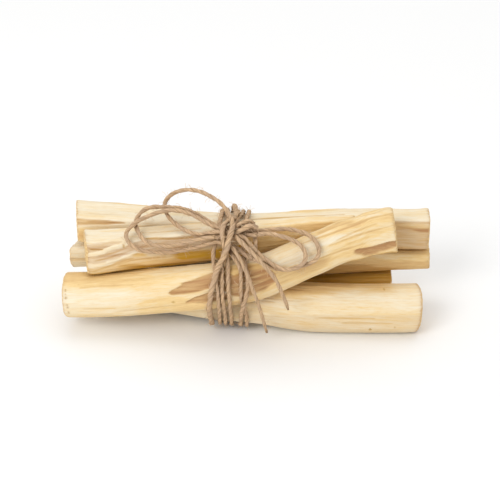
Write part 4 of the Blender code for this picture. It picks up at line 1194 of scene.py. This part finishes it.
def hair_material(settings):
    """Loose jute fibres: thin, pale and matte."""
    material, tree, shader = new_material("loose_jute")
    shades = speckle(tree, add_node(tree, "ShaderNodeTexCoord").outputs["Object"], 900.0, 1.0)
    colour = layered(tree, tuple(settings.light), (ranged(tree, shades, 0.35, 0.65), tuple(settings.hair)))
    tree.links.new(colour, shader.inputs["Base Color"])
    tree.links.new(ranged(tree, shades, 0.3, 0.7, 0.75, 0.9), shader.inputs["Roughness"])
    return material


def stored(tree, geometry, name, value):
    """The geometry with a number stored for each of its points."""
    inputs = {"Geometry": geometry, "Name": name, "Value": value}
    node = add_node(tree, "GeometryNodeStoreNamedAttribute", inputs, data_type="FLOAT", domain="POINT")
    return node.outputs[0]


def curve_skin(tree, curve, section, **scale):
    """The closed skin that a section makes along a curve."""
    inputs = {"Curve": curve, "Profile Curve": section, "Fill Caps": True, **scale}
    return add_node(tree, "GeometryNodeCurveToMesh", inputs).outputs[0]


def end_tree(tree, geometry, given, result):
    """Ends a geometry tree: its instances are made real and its material is set."""
    whole = add_node(tree, "GeometryNodeRealizeInstances", {"Geometry": geometry})
    inputs = {"Geometry": whole.outputs[0], "Material": given.outputs["Material"]}
    finished = add_node(tree, "GeometryNodeSetMaterial", inputs)
    tree.links.new(finished.outputs[0], result.inputs[0])


def twine_section(tree, given, place):
    """The outline across both plies, which stores each point's turn round it and how far on a ply it is."""
    circle = add_node(
        tree, "GeometryNodeCurvePrimitiveCircle", {"Resolution": given.outputs["Sides"], "Radius": 1.0}
    )
    x, y, _ = add_node(tree, "ShaderNodeSeparateXYZ", {0: place}).outputs
    sideways = math_node(tree, "ABSOLUTE", x)
    between = math_node(tree, "MULTIPLY", math_node(tree, "POWER", y, 2.0), -PLY_OFFSET**2)
    outer = math_node(tree, "SQRT", math_node(tree, "ADD", between, (1 - PLY_OFFSET) ** 2))
    reach = math_node(tree, "ADD", math_node(tree, "MULTIPLY", sideways, PLY_OFFSET), outer)
    half = math_node(tree, "MULTIPLY", given.outputs["Diameter"], 0.5)
    lobed = vector_node(tree, "SCALE", place, math_node(tree, "MULTIPLY", reach, half))
    angle = math_node(tree, "DIVIDE", math_node(tree, "ARCTAN2", y, x), FULL_TURN)
    marked = stored(tree, stored(tree, circle.outputs[0], "about", angle), "lobe", sideways)
    return add_node(tree, "GeometryNodeSetPosition", {"Geometry": marked, "Position": lobed}).outputs[0]


def twisted_twine_tree():
    """Geometry nodes: a path becomes two plies twisted round each other, as one closed skin."""
    tree, given, result = new_group(
        "twisted_twine",
        "GeometryNodeTree",
        [
            ("Geometry", "NodeSocketGeometry", None),
            ("Diameter", "NodeSocketFloat", 0.0015),
            ("Twist", "NodeSocketFloat", 0.0042),
            ("Sides", "NodeSocketInt", 18),
            ("Unevenness", "NodeSocketFloat", 0.42),
            ("Material", "NodeSocketMaterial", None),
        ],
        [("Geometry", "NodeSocketGeometry")],
    )
    run = add_node(tree, "GeometryNodeSplineParameter").outputs["Length"]
    twists = math_node(tree, "DIVIDE", run, given.outputs["Twist"])
    turns = math_node(tree, "MULTIPLY", twists, FULL_TURN)
    tilted = add_node(tree, "GeometryNodeSetCurveTilt", {"Curve": given.outputs["Geometry"], "Tilt": turns})
    place = add_node(tree, "GeometryNodeInputPosition").outputs[0]
    lumps = math_node(tree, "SUBTRACT", speckle(tree, place, 450.0, 2.0), 0.5)
    swell = math_node(tree, "MULTIPLY", lumps, given.outputs["Unevenness"])
    thickness = add_node(tree, "GeometryNodeInputRadius").outputs[0]
    radius = math_node(tree, "MULTIPLY", math_node(tree, "ADD", swell, 1.0), thickness)
    thick = add_node(tree, "GeometryNodeSetCurveRadius", {"Curve": tilted.outputs[0], "Radius": radius})
    measured = stored(tree, thick.outputs[0], "along", run)
    skin = curve_skin(tree, measured, twine_section(tree, given, place), Scale=thickness)
    end_tree(tree, skin, given, result)
    return tree


def bent_hair(tree, given):
    """One hair, a metre long and thin to match, which bends over towards its tip."""
    line = add_node(tree, "GeometryNodeCurvePrimitiveLine", {"Start": (0, 0, 0), "End": (0, 0, 1)})
    fine = add_node(tree, "GeometryNodeResampleCurve", {"Curve": line.outputs[0], "Count": 5})
    share = add_node(tree, "GeometryNodeSplineParameter").outputs["Factor"]
    bend = math_node(tree, "MULTIPLY", math_node(tree, "POWER", share, 2.0), 0.45)
    droop = math_node(tree, "MULTIPLY", bend, -0.5)
    sag = add_node(tree, "ShaderNodeCombineXYZ", {0: bend, 1: 0.0, 2: droop})
    bent = add_node(tree, "GeometryNodeSetPosition", {"Geometry": fine.outputs[0], "Offset": sag.outputs[0]})
    thin = math_node(tree, "DIVIDE", given.outputs["Thickness"], given.outputs["Length"])
    section = add_node(tree, "GeometryNodeCurvePrimitiveCircle", {"Resolution": 3, "Radius": thin})
    return curve_skin(tree, bent.outputs[0], section.outputs[0])


def random_vector(tree, low, high, seed):
    """A vector between two others, at random."""
    inputs = {"Min": low, "Max": high, "Seed": seed}
    return add_node(tree, "FunctionNodeRandomValue", inputs, data_type="FLOAT_VECTOR").outputs[0]


def loose_hairs_tree():
    """Geometry nodes: short bent hairs that stand off a surface at random."""
    tree, given, result = new_group(
        "loose_hairs",
        "GeometryNodeTree",
        [
            ("Geometry", "NodeSocketGeometry", None),
            ("Density", "NodeSocketFloat", 400000.0),
            ("Length", "NodeSocketFloat", 0.002),
            ("Thickness", "NodeSocketFloat", 0.00005),
            ("Lift", "NodeSocketFloat", 0.7),
            ("Seed", "NodeSocketInt", 3),
            ("Material", "NodeSocketMaterial", None),
        ],
        [("Geometry", "NodeSocketGeometry")],
    )
    inputs = {key: given.outputs[key] for key in ("Density", "Seed")}
    inputs["Mesh"] = given.outputs["Geometry"]
    scatter = "GeometryNodeDistributePointsOnFaces"
    spots = add_node(tree, scatter, inputs, distribute_method="RANDOM")
    lifted = vector_node(tree, "SCALE", spots.outputs["Normal"], given.outputs["Lift"])
    direction = vector_node(tree, "ADD", random_vector(tree, (-1, -1, -1), (1, 1, 1), 11), lifted)
    facing = add_node(tree, "FunctionNodeAlignRotationToVector", {"Vector": direction}, axis="Z")
    spin = random_vector(tree, (0, 0, 0), (0, 0, 6.28), 5)
    spun = add_node(
        tree, "FunctionNodeRotateRotation",
        {"Rotation": facing.outputs[0], "Rotate By": spin}, rotation_space="LOCAL",
    )
    size = add_node(tree, "FunctionNodeRandomValue", {2: 0.3, 3: 1.0, "Seed": 7}, data_type="FLOAT")
    long = math_node(tree, "MULTIPLY", size.outputs[1], given.outputs["Length"])
    hair = bent_hair(tree, given)
    planted = add_node(
        tree, "GeometryNodeInstanceOnPoints",
        {"Points": spots.outputs[0], "Instance": hair, "Rotation": spun.outputs[0], "Scale": long},
    )
    end_tree(tree, planted.outputs[0], given, result)
    return tree


def grown(name, source, tree, values):
    """The plain mesh object that a geometry nodes tree makes from a source, which is then removed."""
    modifier = source.modifiers.new(tree.name, "NODES")
    modifier.node_group = tree
    for item in tree.interface.items_tree:
        if item.in_out == "INPUT" and item.name in values:
            modifier[item.identifier] = values[item.name]
    evaluated = source.evaluated_get(bpy.context.evaluated_depsgraph_get())
    mesh = bpy.data.meshes.new_from_object(evaluated)
    bpy.data.objects.remove(source)
    mesh.name = name
    mesh.shade_smooth()
    return placed(name, mesh)


def placed(name, mesh):
    """A new object in the scene, with its place in its mesh."""
    piece = bpy.data.objects.new(name, mesh)
    bpy.context.scene.collection.objects.link(piece)
    return piece


def path_object(paths):
    """One curve object with a line for each path, given in millimetres of the frame with its thickness."""
    curve = bpy.data.curves.new("path", "CURVE")
    curve.dimensions = "3D"
    for path in paths:
        spline = curve.splines.new("POLY")
        spline.points.add(len(path) - 1)
        metres = np.column_stack([path[:, :3] * MM, np.ones(len(path))])
        spline.points.foreach_set("co", metres.ravel())
        spline.points.foreach_set("radius", path[:, 3])
    return placed("path", curve)


def bow_run(run):
    """A free run's points in the frame, with its thickness: a tail is thin at its tip."""
    points = [in_bundle(p, THICKER.get(run, 1.0)) for p in BOW[run]]
    if run in TAILS:
        for share, point in zip(np.linspace(0, 1, len(points)), points):
            point[3] *= np.interp(share, *TAPER)
    return points


def strand_path(points):
    """The smooth, evenly spaced path of a strand through its given points."""
    return evenly_spaced(curve_through(points))


def twine_piece(name, paths, settings):
    """Twisted twine along each of the paths, as one piece on the root body."""
    tree = bpy.data.node_groups.get("twisted_twine") or twisted_twine_tree()
    material = bpy.data.materials.get("jute_fibres") or twine_material(settings)
    values = {"Diameter": settings.diameter, "Twist": settings.twist, "Material": material}
    piece = grown(name, path_object(paths), tree, values)
    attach(piece, "root")
    return piece


def joined(objects):
    """The corners and faces of several objects' meshes, numbered as one mesh's."""
    corners, faces = [], []
    for item in objects:
        faces += [tuple(v + len(corners) for v in p.vertices) for p in item.data.polygons]
        corners += [v.co[:] for v in item.data.vertices]
    return corners, faces


def twine_pieces(scene):
    """The pieces of twine that are made so far."""
    jute = bpy.data.materials["jute_fibres"]
    return [item for item in scene.objects if item.type == "MESH" and jute in list(item.data.materials)]


def store_painted_shade_and_tips(mesh, tree):
    """Stores painted shade where the twine is closed in within CROWDED of it, and the darker tip of each
    tail.
    """
    tips = [Vector(bow_run(run)[-1][:3] * MM) for run in TAILS]
    values = []
    for vertex in mesh.vertices:
        out = vertex.normal
        side = out.orthogonal().normalized()
        slant = out.cross(side)
        rays = (out, out + side, out - side, out + slant, out - slant)
        closed = 0.0
        for direction in rays:
            distance = tree.ray_cast(vertex.co + out * RAY_START * MM, direction, CROWDED * MM)[3]
            closed += 0.0 if distance is None else 1 - distance / (CROWDED * MM)
        from_tip = min((vertex.co - tip).length for tip in tips)
        values.append(closed / len(rays) + TIP_DARKNESS * math.exp(-from_tip / (TIP_REACH * MM)))
    store(mesh, "painted_shade_and_tips", values)


class TightOutline:
    """The line that a tight strand takes round all the sticks, at any place across."""

    def __init__(self):
        directions = np.radians(np.arange(0, 360, OUTLINE_STEP))
        self.outward = np.stack([np.cos(directions), np.sin(directions)], axis=1)
        self.slices = np.arange(*WOUND, WOUND_STEP)
        self.corners = np.array([self.hull_corners(x) for x in self.slices])

    def hull_corners(self, x):
        """The point furthest out in each direction, of all the sticks' sections at that x."""
        surfaces = [stick_surface(node) for node in MARKS]
        points = np.concatenate([s.points[np.argmin(np.abs(s.places - x)), :, 1:] for s in surfaces])
        return points[np.argmax(self.outward @ points.T, axis=1)]

    def ring(self, across, layer, diameter):
        """The outline there for a strand's middle in that layer, and each point's angle about the core."""
        at = (across - BUNDLE_CENTRE[0] - self.slices[0]) / WOUND_STEP
        i = int(np.clip(at, 0, len(self.slices) - 2))
        corners = self.corners[i] + (self.corners[i + 1] - self.corners[i]) * (at - i)
        points = corners + self.outward * (diameter / 2 + LAYER * (layer - 1) + TURN_GAP)
        angles = np.unwrap(np.arctan2(points[:, 1] - CORE[1], points[:, 0] - CORE[0]))
        return points, angles

    def angle_of(self, station, diameter):
        """The angle about the core of an (across, up, layer) station on the front."""
        across, up, layer = station
        points, angles = self.ring(across, layer, diameter)
        upward = (points + [BUNDLE_CENTRE[1], 0]) @ UPWARD[1:]
        front = slice(np.argmax(upward), np.argmin(upward) + 1)
        return float(np.interp(-up, -upward[front], angles[front]))

    def place(self, across, angle, layer, diameter):
        """The point of the outline at that angle, in the frame."""
        points, angles = self.ring(across, layer, diameter)
        turned = (angle - angles[0]) % FULL_TURN + angles[0]
        sideways = [np.interp(turned, angles, points[:, k], period=FULL_TURN) for k in (0, 1)]
        return [across - BUNDLE_CENTRE[0], *sideways]


def wound_twine(outline, diameter):
    """The twine's path round the bundle: under it, up its back, over its top and down its front."""
    rows = [(BENEATH, FIRST_TURN_END, 1.0)]
    for number, stations in enumerate(TURNS):
        turned = (number + 1) * FULL_TURN
        front = [(outline.angle_of(s, diameter) + turned, s[0], s[2]) for s in stations]
        angle, across, _ = rows[-1]
        for share in BACK_SHARES:
            behind = (angle + (front[0][0] - angle) * share, across + (front[0][1] - across) * share)
            rows.append((*behind, BACK_LAYERS[number]))
        rows += front
        if number < len(TURNS) - 1:
            rows.append((BENEATH + turned, stations[-1][0], 1.0))
    angles, across, layers = zip(*rows)
    dense = np.arange(angles[0], angles[-1], math.radians(TURN_STEP))
    places = zip(np.interp(dense, angles, across), dense, np.interp(dense, angles, layers))
    return np.array([
        [*outline.place(x, angle, layer, diameter), 1 + LOOSER * (layer - 1)] for x, angle, layer in places
    ])


def softened(points):
    """A wound strand's points, evenly spaced and with their corners softened."""
    line = evenly_spaced(points)
    path = blurred(line, CORNER_BLUR / PATH_STEP, axis=0, closed=False)
    path[0], path[-1] = line[0], line[-1]
    return path


class BUNDLE_OT_split_sticks(bpy.types.Operator):
    """Makes the split and sawn sticks, each in place of its CAD solid"""

    bl_idname = "bundle.split_sticks"
    bl_label = "Split sticks"

    def execute(self, context):
        settings = context.scene.split_wood
        material = wood_material(settings)
        for number, node in enumerate(MARKS):
            mesh = build_stick(node, settings, 100 * (number + 1))
            mesh.materials.append(material)
            piece = placed(node + "_wood", mesh)
            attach(piece, "root")
            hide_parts(node)
        return {"FINISHED"}


class BUNDLE_OT_twine_turns(bpy.types.Operator):
    """Winds the twine round the sticks, from under the bundle on"""

    bl_idname = "bundle.twine_turns"
    bl_label = "Twine turns"

    def execute(self, context):
        settings = context.scene.jute_twine
        path = softened(wound_twine(TightOutline(), settings.diameter / MM))
        piece = twine_piece("twine_turns", [path], settings)
        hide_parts("twine_wraps")
        return {"FINISHED"}


class BUNDLE_OT_twine_bow(bpy.types.Operator):
    """Lays the bow's loops and its two tails"""

    bl_idname = "bundle.twine_bow"
    bl_label = "Twine bow"

    def execute(self, context):
        settings = context.scene.jute_twine
        for name, runs in CORDS.items():
            path = strand_path([p for run in runs for p in bow_run(run)])
            piece = twine_piece(name, [path], settings)
            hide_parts(*(run for run in runs if run != "first_turn"))
        return {"FINISHED"}


class BUNDLE_OT_twine_knot(bpy.types.Operator):
    """Ties the knot from short strands over and under each other"""

    bl_idname = "bundle.twine_knot"
    bl_label = "Twine knot"

    def execute(self, context):
        settings = context.scene.jute_twine
        paths = [strand_path([in_bundle(p, THICKER["knot"]) for p in strand]) for strand in KNOT_STRANDS]
        piece = twine_piece("twine_knot_strands", paths, settings)
        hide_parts("twine_knot")
        return {"FINISHED"}


class BUNDLE_OT_twine_painted_shade(bpy.types.Operator):
    """Paints shade on the twine where it is closed in by itself and the sticks"""

    bl_idname = "bundle.worn_twine"
    bl_label = "Twine painted shade"

    def execute(self, context):
        twines = twine_pieces(context.scene)
        tree = BVHTree.FromPolygons(*joined([*twines, *(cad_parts[node] for node in MARKS)]))
        for twine in twines:
            store_painted_shade_and_tips(twine.data, tree)
        return {"FINISHED"}


class BUNDLE_OT_loose_fibres(bpy.types.Operator):
    """Raises loose fibres all along the twine"""

    bl_idname = "bundle.loose_fibres"
    bl_label = "Loose fibres"

    def execute(self, context):
        settings = context.scene.jute_twine
        skin = bpy.data.meshes.new("all_twine")
        corners, faces = joined(twine_pieces(context.scene))
        skin.from_pydata(corners, [], faces)
        area = sum(p.area for p in skin.polygons)
        length = area / (SKIN_GIRTH * settings.diameter)
        values = {
            "Density": settings.hairs * length / area,
            "Length": settings.hair_length,
            "Material": hair_material(settings),
        }
        piece = grown("twine_loose_fibres", placed("all_twine", skin), loose_hairs_tree(), values)
        for vertex in piece.data.vertices:
            vertex.co.z = max(vertex.co.z, 0.0)
        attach(piece, "root")
        return {"FINISHED"}


class BUNDLE_OT_studio(bpy.types.Operator):
    """Sets the floor, the lights and the camera"""

    bl_idname = "bundle.studio"
    bl_label = "Studio"

    def execute(self, context):
        scene, settings = context.scene, context.scene.studio
        scene.view_settings.view_transform = "Standard"
        target = Vector(TARGET) * MM
        camera = bpy.data.objects.new("camera", bpy.data.cameras.new("camera"))
        camera.data.lens = settings.lens
        camera.data.sensor_width = SENSOR_WIDTH
        camera.data.clip_start = 0.01
        camera.location = target + Vector(FRONT) * settings.distance
        camera.rotation_euler = (target - camera.location).to_track_quat("-Z", "Y").to_euler()
        scene.collection.objects.link(camera)
        scene.camera = camera
        material, _, shader = new_material("studio_floor")
        shader.inputs["Base Color"].default_value = tuple(settings.floor)
        shader.inputs["Roughness"].default_value = 0.9
        floor_mesh = bpy.data.meshes.new("floor")
        signs = ((-1, -1), (1, -1), (1, 1), (-1, 1))
        corners = [(x * FLOOR_HALF, y * FLOOR_HALF, 0) for x, y in signs]
        floor_mesh.from_pydata(corners, [], [(0, 1, 2, 3)])
        floor_mesh.materials.append(material)
        floor = placed("floor", floor_mesh)
        floor.location.z = -FLOOR_DROP * MM
        world = bpy.data.worlds.new("studio")
        world.use_nodes = True
        background = world.node_tree.nodes["Background"]
        background.inputs["Color"].default_value = (1.0, 1.0, 1.0, 1.0)
        background.inputs["Strength"].default_value = settings.sky
        scene.world = world
        for name, place, size, share in LIGHTS:
            self.area_light(scene, name, place, size, share * settings.key)
        return {"FINISHED"}

    @staticmethod
    def area_light(scene, name, place, size, power):
        """A square soft light aimed at the bundle."""
        light = bpy.data.lights.new(name, "AREA")
        light.size = size
        light.energy = power
        lamp = bpy.data.objects.new(name, light)
        lamp.location = place
        lamp.rotation_euler = (-Vector(place)).to_track_quat("-Z", "Y").to_euler()
        scene.collection.objects.link(lamp)


class BUNDLE_PT_pieces(bpy.types.Panel):
    """Shows the operators that make the bundle's pieces in the sidebar"""

    bl_idname = "BUNDLE_PT_pieces"
    bl_label = "Palo santo bundle"
    bl_space_type = "VIEW_3D"
    bl_region_type = "UI"
    bl_category = "Bundle"

    def draw(self, context):
        for operator in OPERATORS:
            self.layout.operator(operator.bl_idname)


OPERATORS = (
    BUNDLE_OT_studio,
    BUNDLE_OT_twine_bow,
    BUNDLE_OT_twine_turns,
    BUNDLE_OT_split_sticks,
    BUNDLE_OT_twine_knot,
    BUNDLE_OT_twine_painted_shade,
    BUNDLE_OT_loose_fibres,
)
SETTINGS = {"split_wood": SplitWoodSettings, "jute_twine": TwineSettings, "studio": StudioSettings}


def register():
    for name, group in SETTINGS.items():
        bpy.utils.register_class(group)
        setattr(bpy.types.Scene, name, PointerProperty(type=group))
    for item in (*OPERATORS, BUNDLE_PT_pieces):
        bpy.utils.register_class(item)


def unregister():
    for item in (BUNDLE_PT_pieces, *reversed(OPERATORS)):
        bpy.utils.unregister_class(item)
    for name, group in SETTINGS.items():
        delattr(bpy.types.Scene, name)
        bpy.utils.unregister_class(group)


def main():
    register()
    bpy.ops.bundle.studio()
    bpy.ops.bundle.twine_bow()
    bpy.ops.bundle.twine_turns()
    bpy.ops.bundle.split_sticks()
    bpy.ops.bundle.twine_knot()
    bpy.ops.bundle.worn_twine()
    bpy.ops.bundle.loose_fibres()


if __name__ == "__main__":
    main()
